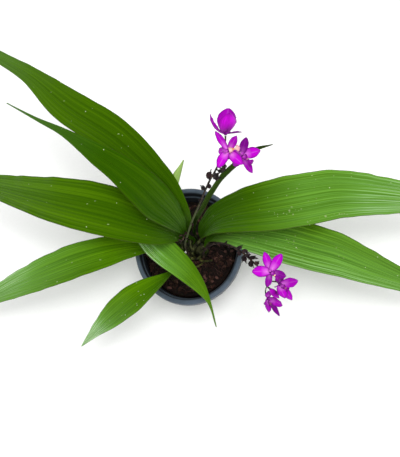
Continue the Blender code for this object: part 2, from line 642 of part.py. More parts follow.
def build_scape(name, spec, finish):
    """A flower stalk with bracts, withered flowers and the short stems of its blooms."""
    rows, _ = flow(rooted(spec), 20)
    taper = np.linspace(1.0, 0.72, len(rows))
    rows = np.column_stack([rows, spec.radius * taper])
    pieces = [rod("stalk", rows, finish)]
    fine, _ = flow(rooted(spec), 201)

    def at_share(share):
        k = min(int(share * 200), 198)
        return Vector(fine[k]), Vector(fine[k + 1] - fine[k]).normalized()

    for share, turn, reach, size in WITHERED[name]:
        point, ahead = at_share(share)
        pieces += withered_flower(point, sideways(ahead, turn), ahead, reach, size, finish)
    start, stop, count = BRACTS[name]
    for k in range(count):
        point, ahead = at_share(start + (stop - start) * k / (count - 1))
        pieces.append(bract(point, sideways(ahead, 40 + GOLDEN_ANGLE * k), ahead, 4.2, finish))
    for bloom_name, share in BLOOM_STEMS[name]:
        back, face = stem_end(bloom_name)
        point, ahead = at_share(share)
        route = [(*point, 0.9), (*(point + ahead * 3.0), 0.9), (*(back - face * 5.0), 0.85), (*back, 0.9)]
        stem_rows, _ = flow(route, 6)
        pieces.append(rod("bloom_stem", stem_rows, finish, 4))
    smooth(fuse(name, pieces, finish), 60)


def main():
    for old in list(bpy.data.objects):
        bpy.data.objects.remove(old)
    plastic = add_material("pot_plastic", (0.022, 0.024, 0.027), 0.42)
    coir = add_material("potting_mix", (0.045, 0.018, 0.012), 0.95)
    husk = add_material("bulb_husk", (0.13, 0.10, 0.035), 0.75)
    green = add_material("leaf_green", (0.075, 0.19, 0.012), 0.42)
    lime = add_material("young_leaf_green", (0.22, 0.38, 0.06), 0.42)
    stalk = add_material("dry_stalk", (0.055, 0.032, 0.035), 0.7)
    magenta = add_material("petal_magenta", (0.50, 0.004, 0.58), 0.5)
    purple = add_material("lip_purple", (0.22, 0.002, 0.26), 0.5)
    yellow = add_material("callus_yellow", (0.75, 0.33, 0.06), 0.5)

    build_pot(plastic)
    sheaths = [dry_sheath(name, azimuth, husk) for name, turns in SHEATHS.items() for azimuth in turns]
    crown = fuse("pseudobulbs", crown_pieces(0.0, husk) + sheaths, husk)
    smooth(crown)
    build_soil(coir, fuse("crown_cutter", crown_pieces(GAP, husk), husk))
    for name, spec in LEAVES.items():
        build_leaf(name, spec, lime if name == "leaf_young_back" else green)
    for name, spec in SCAPES.items():
        build_scape(name, spec, stalk)
    for name, spec in BLOOMS.items():
        build_tepals(name, spec, magenta)
        build_lip(name, spec, purple)
        build_callus(name, spec, yellow)
    smooth(realise(rod(BUD, BUD_ROUTE, magenta, 8)))


if __name__ == "__main__":
    main()
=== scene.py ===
"""Dresses a potted ground orchid: pleated leaves, flower stalks, magenta blooms and a nursery pot.

Lengths in the tables and classes below are millimetres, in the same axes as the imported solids: +X is
the plant's right, +Y its back, +Z up, and the origin is the middle of the pot's base.
"""

import logging
import math
from collections.abc import Callable, Iterable, Sequence
from dataclasses import dataclass, field
from enum import Enum
from functools import partial
from typing import Protocol

import bpy
import numpy as np
from mathutils import Matrix, Quaternion, Vector, noise


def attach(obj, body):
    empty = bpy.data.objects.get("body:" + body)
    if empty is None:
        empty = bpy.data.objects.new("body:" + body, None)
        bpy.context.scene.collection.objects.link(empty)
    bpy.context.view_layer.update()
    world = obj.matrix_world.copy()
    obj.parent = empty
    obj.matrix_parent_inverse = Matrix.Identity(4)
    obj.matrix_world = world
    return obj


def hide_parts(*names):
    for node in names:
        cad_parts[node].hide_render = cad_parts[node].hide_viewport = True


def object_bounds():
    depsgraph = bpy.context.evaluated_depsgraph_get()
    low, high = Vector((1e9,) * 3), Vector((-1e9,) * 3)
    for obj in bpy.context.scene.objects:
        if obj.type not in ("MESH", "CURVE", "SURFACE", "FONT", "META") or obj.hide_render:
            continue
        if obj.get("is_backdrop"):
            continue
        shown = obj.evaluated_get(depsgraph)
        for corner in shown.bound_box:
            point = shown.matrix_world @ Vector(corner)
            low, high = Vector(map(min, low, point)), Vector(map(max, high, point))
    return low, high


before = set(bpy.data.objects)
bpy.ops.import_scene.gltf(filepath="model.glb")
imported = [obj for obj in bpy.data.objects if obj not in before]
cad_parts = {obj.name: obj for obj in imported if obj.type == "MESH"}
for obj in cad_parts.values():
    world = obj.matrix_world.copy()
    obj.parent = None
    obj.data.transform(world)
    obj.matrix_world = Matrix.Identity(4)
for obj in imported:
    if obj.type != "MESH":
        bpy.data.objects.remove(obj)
CAD_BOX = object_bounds()

log = logging.getLogger("orchid")

Piece = bpy.types.Object
Material = bpy.types.Material
Row = tuple[float, ...]
Feed = bpy.types.Node | bpy.types.NodeSocket | float | str | Row  # what a socket can be given
MM = 0.001  # one millimetre in scene units
GAP = 0.3  # clearance between neighbouring pieces
GOLDEN_ANGLE = 137.5
FULL_TURN = 2.0 * math.pi
UP = Vector((0, 0, 1))


class Slot(Enum):
    """The record's material slots."""

    POT = "pot"
    MIX = "potting_mix"
    HUSK = "bulb_husk"
    LEAF = "leaf"
    YOUNG_LEAF = "young_leaf"
    STALK = "stalk"
    PETAL = "petal"
    LIP = "lip"
    CALLUS = "callus"


# ---------------- colours and nodes


def linear(code: str) -> Row:
    """Turns an sRGB hex colour into a linear one.

    Args:
        code: six hex digits.

    Returns:
        Linear red, green and blue, and an alpha of one.
    """
    shares = [int(code[k:k + 2], 16) / 255.0 for k in (0, 2, 4)]
    return (*(s / 12.92 if s <= 0.04045 else ((s + 0.055) / 1.055) ** 2.4 for s in shares), 1.0)


def output(feed: bpy.types.Node | bpy.types.NodeSocket) -> bpy.types.NodeSocket:
    """Returns a node's first output in use, or an output as it is."""
    return next(s for s in feed.outputs if s.enabled) if isinstance(feed, bpy.types.Node) else feed


def add_node(tree: bpy.types.NodeTree, kind: str, *inputs: Feed, **named: Feed | Sequence) -> bpy.types.Node:
    """Adds a shader node with its settings and links.

    Args:
        tree: the node tree that it joins.
        kind: the node's type, without ShaderNode in front, and its operation after a space.
        inputs: what its first sockets in use get, in order: a value, a hex colour, or what feeds them.
        named: the same by a socket's name, with _ for each space, and the node's own settings; stops
            sets a colour ramp.

    Returns:
        The new node.
    """
    kind, _, operation = kind.partition(" ")
    node = tree.nodes.new("ShaderNode" + kind)
    if kind == "Mix":
        node.data_type = "RGBA"
    if operation:
        node.operation = operation
    if stops := named.pop("stops", ()):
        ramp = node.color_ramp.elements
        while len(ramp) < len(stops):
            ramp.new(1.0)
        for stop, (position, code) in zip(ramp, stops):
            stop.position, stop.color = position, linear(code)
    for key in [key for key in named if hasattr(node, key)]:
        setattr(node, key, named.pop(key))
    live = [s for s in node.inputs if s.enabled]
    by_name = {s.name.replace(" ", "_"): s for s in live}
    for socket, feed in [*zip(live, inputs), *((by_name[key], feed) for key, feed in named.items())]:
        if isinstance(feed, bpy.types.Node | bpy.types.NodeSocket):
            tree.links.new(output(feed), socket)
        else:
            socket.default_value = linear(feed) if isinstance(feed, str) else feed
    return node


class Shading:
    """A material in the making: one Principled shader, and the coordinates that its patterns read."""

    def __init__(self, name: str, **even: float | Row) -> None:
        """Starts the material.

        Args:
            name: the material's name.
            even: values that are the same all over, by socket name with _ for each space.
        """
        self.made = bpy.data.materials.new(name)
        self.made.use_nodes = True
        self.tree = self.made.node_tree
        self.shader = self.tree.nodes["Principled BSDF"]
        for key, value in even.items():
            self.shader.inputs[key.replace("_", " ")].default_value = value
        self.add = partial(add_node, self.tree)
        place = self.add("TexCoord").outputs
        self.uv, self.at = place["UV"], place["Object"]

    def material(self, colour: bpy.types.Node, height: bpy.types.Node, depth: float,
                 roughness: bpy.types.Node | None = None) -> Material:
        """Links a colour, a bump and a roughness to the shader.

        Args:
            colour: the node that gives the base colour.
            height: the node that gives the relief, from 0 to 1.
            depth: how deep that relief is, in millimetres.
            roughness: the node that gives the roughness, where it varies.

        Returns:
            The finished material.
        """
        bump = self.add("Bump", Strength=1.0, Distance=depth * MM, Height=height)
        for key, feed in (("Base Color", colour), ("Normal", bump), ("Roughness", roughness)):
            if feed:
                self.tree.links.new(output(feed), self.shader.inputs[key])
        return self.made


# ---------------- finishes


class Finish(Protocol):
    """What a piece can be dressed in."""

    name: str

    def material(self) -> Material:
        """Returns the material."""


@dataclass(frozen=True)
class LeafSkin:
    """The upper face of a living leaf: a waxy cuticle over parallel veins.

    The eye gets a deep, satiny mid green with yellow-green veins, painted shade in the creases between the
    pleats and at the base, and a painted sheen, a paler green frosted at its strongest, that stands for the
    bright room reflected on the outer blade.
    """

    name: str
    green: str = "3D6602"
    vein: str = "6A9A08"
    # Painted shade in the creases between the pleats, which the dark lines beside the fine veins take too.
    crease_shade: str = "295200"
    # Painted shade at the leaf's base, deeper on the side turned from the light.
    deep_shade: str = "204502"
    # Painted sheen: the bright room reflected on the outer blade, frosted at its strongest.
    film: str = "70A848"
    sheen_peak: str = "BCD8B0"
    margin: str = "3A4119"
    mark: str = "E6EFC6"
    seed: float = 0.0
    half_waves: int = 8  # pleat faces across half the blade, as the mesh has
    shade_until: float = 0.5  # share of the length at which the painted shade at the base has faded
    shade_sides: tuple[float, float] = (0.85, 0.85)  # how dark the painted shade at the base is at the left and right edge
    vein_share: float = 0.34  # how far the fine veins stand out
    shade: float = 1.0  # painted light and shade, partly the leaf's own tone: how bright the whole leaf is beside the others
    drop_cells: float = 125.0  # cells per metre, each of which may hold one dried drop

    def material(self) -> Material:
        """Returns the material."""
        skin = Shading(self.name, Specular_IOR_Level=0.22, IOR=1.42, Specular_Tint=linear("D8F020"))
        add = skin.add
        u, v, _ = add("SeparateXYZ", skin.uv).outputs
        # Fine veins lie about 0.7 mm apart across a 55 mm blade, and broad ones 5 mm apart.
        fine_at = add("Mapping", skin.uv, (0, 0, self.seed), Scale=(75, 3.5, 1))
        broad_at = add("Mapping", skin.uv, (3, 0, self.seed), Scale=(13, 1.6, 1))
        fine = add("TexNoise", fine_at, 1.0, 2.0, 0.6)
        broad = add("TexNoise", broad_at, 1.0, 1.0)
        from_middle = add("Math ABSOLUTE", add("Math MULTIPLY_ADD", u, 2.0, -1.0))
        wave = add("Math COSINE", add("Math MULTIPLY", from_middle, math.pi * self.half_waves))
        bands = add("Math MULTIPLY", add("MapRange", broad, 0.42, 0.66), 0.3)
        lines = add("Math MULTIPLY", add("MapRange", fine, 0.50, 0.72), self.vein_share)
        # Painted shade: dark lines beside the fine veins and in the creases between the pleats.
        dark_lines = add("MapRange", fine, 0.50, 0.28, 0.0, 0.45)
        painted_crease_shade = add("Math MULTIPLY", add("MapRange", wave, 0.45, 1.0), 0.34)
        # Painted shade at the base, fading along the leaf and deeper on one side.
        fading = add("MapRange", v, self.shade_until, 0.4 * self.shade_until, interpolation_type="SMOOTHSTEP")
        base = add("Math MULTIPLY", fading, add("MapRange", u, 0.0, 1.0, *self.shade_sides))
        # Painted sheen: the bright room reflected on the outer blade, paler in streaks and frosted at its
        # strongest.
        painted = add("Attribute", attribute_name="film").outputs["Fac"]
        film = add("Math MULTIPLY", painted, add("MapRange", fine, 0.34, 0.68, 0.35, 1.35))
        sheen_tone = add("Mix", add("MapRange", film, 0.55, 1.0, 0.0, 0.8), self.film, self.sheen_peak)
        edge = add("MapRange", from_middle, 0.955, 0.995, 0.0, 0.7)
        tone = add("Mix", bands, self.green, self.vein)
        for share, colour in ((lines, self.vein), (dark_lines, self.crease_shade), (painted_crease_shade, self.crease_shade),
                              (base, self.deep_shade), (film, sheen_tone), (edge, self.margin)):
            tone = add("Mix", share, tone, colour)
        # Painted light and shade over the whole leaf, partly its own tone.
        tone = add("HueSaturation", Value=self.shade, Color=tone)
        # Dried drops: pale specks under a millimetre wide, one in a few cells.
        cells = add("TexVoronoi", skin.at, self.drop_cells)
        kept = add("Math GREATER_THAN", add("SeparateColor", cells.outputs["Color"]), 0.8)
        speck = add("Math MULTIPLY", add("MapRange", cells, 0.085, 0.05), kept)
        tone = add("Mix", add("Math MULTIPLY", speck, 0.7), tone, self.mark)
        rough = add("MapRange", add("TexNoise", skin.at, 28.0, 3.0), 0.0, 1.0, 0.34, 0.52)
        return skin.material(tone, fine, 0.35, rough)


@dataclass(frozen=True)
class LeafUnderside:
    """The lower face of a leaf: matt, paler and greyer than the upper one, with raised veins."""

    name: str = "leaf_underside"
    green: str = "5F8A35"
    vein: str = "86A95A"
    foot: str = "2B3412"
    # Painted light and shade, partly the leaf's own tone: how bright the whole leaf is beside the others.
    shade: float = 1.0

    def material(self) -> Material:
        """Returns the material."""
        skin = Shading(self.name, Specular_IOR_Level=0.25, Roughness=0.62)
        add = skin.add
        fine = add("TexNoise", add("Mapping", skin.uv, Scale=(60, 2.5, 1)), 1.0, 2.0)
        low = add("MapRange", add("SeparateXYZ", skin.uv).outputs["Y"], 0.34, 0.1)
        tone = add("Mix", add("MapRange", fine, 0.42, 0.68), self.green, self.vein)
        tone = add("HueSaturation", Value=self.shade, Color=add("Mix", low, tone, self.foot))
        return skin.material(tone, fine, 0.5)


@dataclass(frozen=True)
class PetalSkin:
    """A sepal or petal: fine velvety cells full of purple-red sap.

    The eye gets a vivid magenta that pales to pink along the base and the midline, and catches a soft sheen;
    painted shade deepens it towards the edges and the tip, and over a tepal as far as its attribute depth
    says.
    """

    name: str = "petal_magenta"
    body: str = "B706C3"
    pale: str = "E685E4"
    # The colour of the painted shade towards the edges and the tip, which the veins take too.
    edge: str = "6C0679"
    sheen: float = 0.05
    pale_reach: float = 0.42  # share of the length that the pale base covers

    def material(self) -> Material:
        """Returns the material."""
        skin = Shading(self.name, Specular_IOR_Level=0.18, Specular_Tint=linear("F07CF6"), Roughness=0.48,
                       Sheen_Weight=self.sheen, Sheen_Roughness=0.4)
        add = skin.add
        # How much painted shade covers the tepal, from its attribute depth.
        deep_shade = add("Attribute", attribute_name="depth").outputs["Fac"]
        u, v, _ = add("SeparateXYZ", skin.uv).outputs
        # Veins fan out about 0.8 mm apart on a petal 11 mm wide.
        veins = add("TexNoise", add("Mapping", skin.uv, Scale=(16, 2.2, 1)), 1.0, 2.0, 0.55)
        grain = add("TexNoise", skin.at, 900.0, 2.0)
        from_middle = add("Math ABSOLUTE", add("Math MULTIPLY_ADD", u, 2.0, -1.0))
        along, near = add("MapRange", v, self.pale_reach, 0.08), add("MapRange", from_middle, 0.9, 0.0)
        midline = add("MapRange", from_middle, 0.2, 0.02, 0.0, 0.17)
        heart = add("Math MAXIMUM", add("Math MULTIPLY", along, near), midline)
        heart = add("Math MULTIPLY", heart, add("Math MULTIPLY_ADD", deep_shade, -0.75, 1.0))
        # Painted shade towards the edges and the tip, and over the whole tepal where depth is painted.
        rim = add("Math MAXIMUM", add("MapRange", from_middle, 0.62, 1.0), add("MapRange", v, 0.72, 1.0))
        rim = add("Math MAXIMUM", add("Math MULTIPLY", rim, 0.75), deep_shade)
        tone = add("Mix", rim, self.body, self.edge)
        tone = add("Mix", add("MapRange", veins, 0.5, 0.72, 0.0, 0.4), tone, self.edge)
        tone = add("Mix", heart, tone, self.pale)
        return skin.material(tone, add("Math MULTIPLY_ADD", grain, 0.25, veins), 0.35)


@dataclass(frozen=True)
class Tissue:
    """Plain plant tissue: stalks, husks, dry flowers and roots, grained along or mottled.

    The eye gets two or three tones that drift over a few millimetres, with fine dark fibres, on a
    surface with little gloss, and greener where the attribute "fresh" says that it still lives.
    """

    name: str
    tones: tuple[str, str, str]
    grain: tuple[float, float, float] = (400.0, 400.0, 90.0)  # per metre along X, Y and Z
    roughness: float = 0.6
    relief: float = 0.5  # mm
    gloss: float = 0.3
    fresh: str = "4A5230"

    def material(self) -> Material:
        """Returns the material."""
        skin = Shading(self.name, Specular_IOR_Level=self.gloss, Roughness=self.roughness)
        add = skin.add
        drift = add("TexNoise", skin.at, 160.0, 3.0)
        grain = add("TexNoise", add("Mapping", skin.at, Scale=self.grain), 1.0, 3.0, 0.6)
        low, middle, high = self.tones
        tone = add("ValToRGB", drift, stops=((0.34, low), (0.5, middle), (0.68, high)))
        living = add("Attribute", attribute_name="fresh").outputs["Fac"]
        tone = add("Mix", living, tone, self.fresh)
        tone = add("Mix", add("MapRange", grain, 0.46, 0.32, 0.0, 0.6), tone, low)
        return skin.material(tone, grain, self.relief)


@dataclass(frozen=True)
class ChippedBark:
    """Composted bark and coir: broken, fibrous and damp.

    The eye gets dark red-brown crumbs, each its own shade, with paler torn faces, and painted shade, nearly
    black, in the hollows between them.
    """

    name: str = "bark_and_coir"
    dark: str = "060302"
    body: str = "2A1812"
    torn: str = "694A43"

    def material(self) -> Material:
        """Returns the material."""
        bark = Shading(self.name, Specular_IOR_Level=0.3, Roughness=0.8)
        add = bark.add
        # Crumbs are 1 to 3 mm wide and torn fibres about 0.3 mm.
        crumb = add("TexNoise", bark.at, 420.0, 4.0, 0.7)
        fibre_at = add("Mapping", bark.at, Scale=(2600, 700, 1500), Rotation=(0.4, 0.2, 0.8))
        worn = add("MapRange", add("TexNoise", fibre_at, 1.0, 2.0), 0.55, 0.75, 0.0, 0.45)
        # The bed's tint is below zero, so it takes the ramp's near black: painted shade in the hollows
        # between the chips.
        tint = add("Attribute", attribute_name="tint").outputs["Fac"]
        shade = add("Math MULTIPLY_ADD", crumb, 0.55, tint)
        tone = add("ValToRGB", shade, stops=((0.1, self.dark), (0.55, self.body), (1.0, self.torn)))
        return bark.material(add("Mix", worn, tone, self.torn), crumb, 0.6)


@dataclass(frozen=True)
class MouldedPolypropylene:
    """Black recycled polypropylene, blow moulded thin.

    The eye gets a soft sheen over near black, fine ring lines from the mould, a paler blue-grey on the crest
    of the rim, partly scuffs and a dusting of lime and soil and partly a painted reflection of the bright
    room, and a thin paler, dusty line round the wall at the ledge.
    """

    name: str = "pot_polypropylene"
    black: str = "1B1E21"
    # Paler blue-grey of the rim's crest: scuffs and dust, and a painted reflection of the bright room.
    worn: str = "4F5B69"
    dust: str = "697683"
    rim: tuple[float, float] = (0.113, 0.1245)  # metres above the ground over which the rim turns paler: worn, and a painted reflection
    crest: tuple[float, float] = (0.0655, 0.0672)  # metres from the axis over which it turns pale
    ledge: float = 0.114  # metres above the ground, where a thin paler line runs round the wall at the ledge
    to_round: tuple[float, float, float] = (1.045, 0.957, 0)  # makes the oval pot round, seen from above

    def material(self) -> Material:
        """Returns the material."""
        wall = Shading(self.name, Specular_IOR_Level=0.24, IOR=1.49)
        add, z = wall.add, wall.add("SeparateXYZ", wall.at).outputs["Z"]
        # Mould lines run round the wall about 0.8 mm apart.
        rings = add("TexNoise", add("Mapping", wall.at, Scale=(6, 6, 1200)), 1.0, 2.0)
        smear = add("TexNoise", add("Mapping", wall.at, Scale=(30, 30, 55)), 1.0, 4.0, 0.65)
        grit = add("TexNoise", wall.at, 1500.0, 3.0)
        radius = add("VectorMath LENGTH", add("Mapping", wall.at, Scale=self.to_round)).outputs["Value"]
        # The rim's crest turns paler, partly scuffs and dust and partly a painted reflection of the bright
        # room, and a thin paler line runs round the wall at the ledge.
        high = add("MapRange", add("MapRange", z, *self.rim), 0.0, 1.0, 0.1, 1.0)
        worn = add("Math MULTIPLY", high, add("MapRange", smear, 0.38, 0.66, 0.6))
        worn = add("Math MULTIPLY", worn, add("MapRange", radius, *self.crest, 0.02))
        worn = add("Math MULTIPLY_ADD", add("Math COMPARE", z, self.ledge, 0.0006), 0.3, worn)
        dusty = add("Math MULTIPLY", add("MapRange", grit, 0.57, 0.72, 0.0, 0.5), worn)
        tone = add("Mix", dusty, add("Mix", worn, self.black, self.worn), self.dust)
        rough = add("MapRange", smear, 0.0, 1.0, 0.36, 0.58)
        return wall.material(tone, add("Math MULTIPLY_ADD", grit, 0.4, rings), 0.08, rough)


@dataclass(frozen=True)
class ClearWater:
    """A drop of water: smooth and partly clear, so it shows a bright rim and a dark middle, and tinted pale
    yellow-green as a painted highlight.
    """

    name: str = "clear_water"

    def material(self) -> Material:
        """Returns the material."""
        drop = Shading(self.name, IOR=1.333, Roughness=0.03, Transmission_Weight=0.6, Specular_IOR_Level=0.6)
        haze = drop.add("TexNoise", drop.at, 500.0)
        # Painted highlight: a pale yellow-green colour.
        tone = drop.add("ValToRGB", haze, stops=((0.3, "A9CC6C"), (0.7, "D3EBA0")))
        return drop.material(tone, haze, 0.02)


@dataclass(frozen=True)
class StudioPaper:
    """Matt white background paper with a faint tooth."""

    name: str = "studio_paper"
    white: str = "FAFAFA"

    def material(self) -> Material:
        """Returns the material."""
        paper = Shading(self.name, Roughness=0.9, Specular_IOR_Level=0.1)
        tooth = paper.add("TexNoise", paper.at, 300.0, 2.0)
        tone = paper.add("ValToRGB", tooth, stops=((0.0, self.white), (1.0, "FFFFFF")))
        return paper.material(tone, tooth, 0.05)


BLOOM_STEM = Tissue("bloom_stem", ("15130E", "2A241C", "3F3A2A"), (500, 500, 60), 0.5, 0.3)
DRY_STALK = Tissue("dry_stalk", ("140D0B", "291D19", "4B3C2E"), (900, 900, 120), 0.66, 0.4)
WITHERED = Tissue("withered_flower", ("0D0608", "1C0E12", "382124"), (700, 700, 300), 0.62, 0.8)
HUSK = Tissue("ringed_husk", ("0B0C06", "1F2210", "3B3D22"), (900, 900, 90), 0.66, 1.2)
DRY_SCALE = Tissue("dry_scale", ("0C0A06", "221D10", "423A22"), (1500, 1500, 120), 0.75, 0.5)
OLD_STEM = Tissue("old_stem", ("14140A", "36391D", "5D6039"), (700, 700, 150), 0.7, 0.7)
ROOT = Tissue("root_skin", ("1C1D0C", "3A3C18", "5C5B2E"), (500, 500, 500), 0.7, 0.5)
CALLUS_SKIN = Tissue("callus_wax", ("D0703C", "EBA070", "F8D8B8"), (900, 900, 900), 0.4, 0.2, 0.5)
SHADED_CALLUS = Tissue("callus_wax_shaded", ("7A3A5A", "A0567A", "C080A0"), (900, 900, 900), 0.4, 0.2, 0.5)
COLUMN_SKIN = Tissue("column_wax", ("6E0C78", "A424AC", "D46CD0"), (600, 600, 600), 0.4, 0.2, 0.5)
PERLITE = Tissue("perlite", ("CFCBBE", "EDEADF", "FBFAF4"), (900, 900, 900), 0.85, 0.4)
PETAL = PetalSkin()
# The backs of the tepals, the cores and the bud: the same magenta, with dark purple painted shade in place of
# the pale heart and at the edges.
PETAL_BACK_SHADED = PetalSkin("petal_back", "BA0CC4", "4A0450", "4E0458", 0.05, 0.62)
LIP = PetalSkin("lip_purple", "8A0C93", "D05AD2", "560659", 0.1, 0.3)
PALE_LIP = PetalSkin("lip_pale", "E8C4AC", "FFF1DC", "B04090", 0.05, 0.6)
YOUNG_LEAF = LeafSkin("young_leaf_skin", "8FB54C", "B4CC72", "6E9440", "5E8230", "C3D9A2", "7A8C4A",
                      seed=9.0, shade=0.88)


# ---------------- modelling helpers


def only(*pieces: Piece) -> None:
    """Selects these pieces and nothing else, and makes the first one active."""
    bpy.ops.object.select_all(action="DESELECT")
    for piece in pieces:
        piece.select_set(True)
    bpy.context.view_layer.objects.active = pieces[0]


def apply_modifiers(piece: Piece) -> None:
    """Applies a piece's modifiers in their order."""
    only(piece)
    for modifier in list(piece.modifiers):
        bpy.ops.object.modifier_apply(modifier=modifier.name)


def points_of(piece: Piece) -> np.ndarray:
    """Returns a mesh's points as rows of x, y and z, in metres."""
    flat = np.empty(len(piece.data.vertices) * 3)
    piece.data.vertices.foreach_get("co", flat)
    return flat.reshape(-1, 3)


def move_points(piece: Piece, points: np.ndarray) -> None:
    """Moves a mesh's points to rows of x, y and z, in metres."""
    piece.data.vertices.foreach_set("co", np.asarray(points, float).ravel())
    piece.data.update()


def paint(piece: Piece, name: str, values: float | np.ndarray) -> None:
    """Writes a number to each point of a mesh as an attribute for its material."""
    layer = piece.data.attributes.new(name, "FLOAT", "POINT")
    layer.data.foreach_set("value", np.broadcast_to(values, len(piece.data.vertices)).astype(np.float32))


def dress(piece: Piece, *finishes: Finish) -> None:
    """Gives a piece the materials of some finishes, each made once."""
    piece.data.materials.clear()
    for finish in finishes:
        piece.data.materials.append(bpy.data.materials.get(finish.name) or finish.material())


def joined(name: str, pieces: Sequence[Piece]) -> Piece:
    """Joins pieces into one.

    Args:
        name: the name of the object and its mesh.
        pieces: what is joined, each with its own materials.

    Returns:
        The joined piece.
    """
    only(*pieces)
    if len(pieces) > 1:
        bpy.ops.object.join()
    pieces[0].name = name
    pieces[0].data.name = name
    return pieces[0]


def hand_over(piece: Piece, slot: Slot, *nodes: str, angle: float = 50.0) -> None:
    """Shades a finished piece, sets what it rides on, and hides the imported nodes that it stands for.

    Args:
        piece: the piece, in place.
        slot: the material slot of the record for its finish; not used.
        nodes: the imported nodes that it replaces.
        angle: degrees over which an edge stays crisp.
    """
    only(piece)
    bpy.ops.object.shade_smooth_by_angle(angle=math.radians(angle))
    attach(piece, "root")
    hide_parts(*nodes)
    log.info("%s: %d faces, for %s", piece.name, len(piece.data.polygons), ", ".join(nodes))


def placed(name: str, data: bpy.types.ID) -> Piece:
    """Returns a new object that holds some data, linked to the scene."""
    made = bpy.data.objects.new(name, data)
    bpy.context.scene.collection.objects.link(made)
    return made


def polar(radius: float, angle: float) -> tuple[float, float]:
    """Returns x and y at a radius and an angle in radians."""
    return radius * math.cos(angle), radius * math.sin(angle)


def strewn(draw: np.random.Generator, reach: float) -> tuple[float, float]:
    """Draws a place on a disc of some radius."""
    return polar(reach * math.sqrt(draw.uniform()), draw.uniform(0.0, FULL_TURN))


def turned_to(heading: Vector) -> Quaternion:
    """Returns the turn that takes straight up to a heading."""
    return UP.rotation_difference(heading)


def ease(share: float) -> float:
    """Smooth step from 0 to 1."""
    share = min(max(share, 0.0), 1.0)
    return share * share * (3.0 - 2.0 * share)


CLOUDS = (0.9, 2.0, 4)  # the noise's fall per octave, its step in size and its octaves
FINE_STEPS = 1200  # points at which a curve's length is measured


def lengths(points: np.ndarray) -> np.ndarray:
    """Returns how far along a row of points each one lies."""
    return np.concatenate([[0.0], np.cumsum(np.linalg.norm(np.diff(points[:, :3], axis=0), axis=1))])


def flow(route: Sequence[Row], stations: int, crowding: float = 1.0) -> tuple[np.ndarray, np.ndarray]:
    """Finds points along a smooth curve through a route.

    Args:
        route: rows that start with x, y and z; further columns are carried along.
        stations: how many points to find.
        crowding: above 1, the points lie closer together at the start.

    Returns:
        The points' rows, and how far along the curve each one lies.
    """
    knots_at = np.array(route, float)
    chord = np.linalg.norm(np.diff(knots_at[:, :3], axis=0), axis=1)
    knots = lengths(knots_at)
    slope = np.diff(knots_at, axis=0) / chord[:, None]
    tangent = np.empty_like(knots_at)
    tangent[0], tangent[-1] = slope[0], slope[-1]
    before, after = chord[:-1, None], chord[1:, None]
    tangent[1:-1] = (slope[:-1] * after + slope[1:] * before) / (before + after)
    fine = np.linspace(0.0, knots[-1], FINE_STEPS)
    index = np.clip(np.searchsorted(knots, fine, side="right") - 1, 0, len(chord) - 1)
    length = chord[index, None]
    t = (fine - knots[index])[:, None] / length
    curve = (
        (2 * t**3 - 3 * t**2 + 1) * knots_at[index]
        + (t**3 - 2 * t**2 + t) * length * tangent[index]
        + (3 * t**2 - 2 * t**3) * knots_at[index + 1]
        + (t**3 - t**2) * length * tangent[index + 1]
    )
    run = lengths(curve)
    wanted = run[-1] * np.linspace(0.0, 1.0, stations) ** crowding
    return np.stack([np.interp(wanted, run, column) for column in curve.T], axis=1), wanted


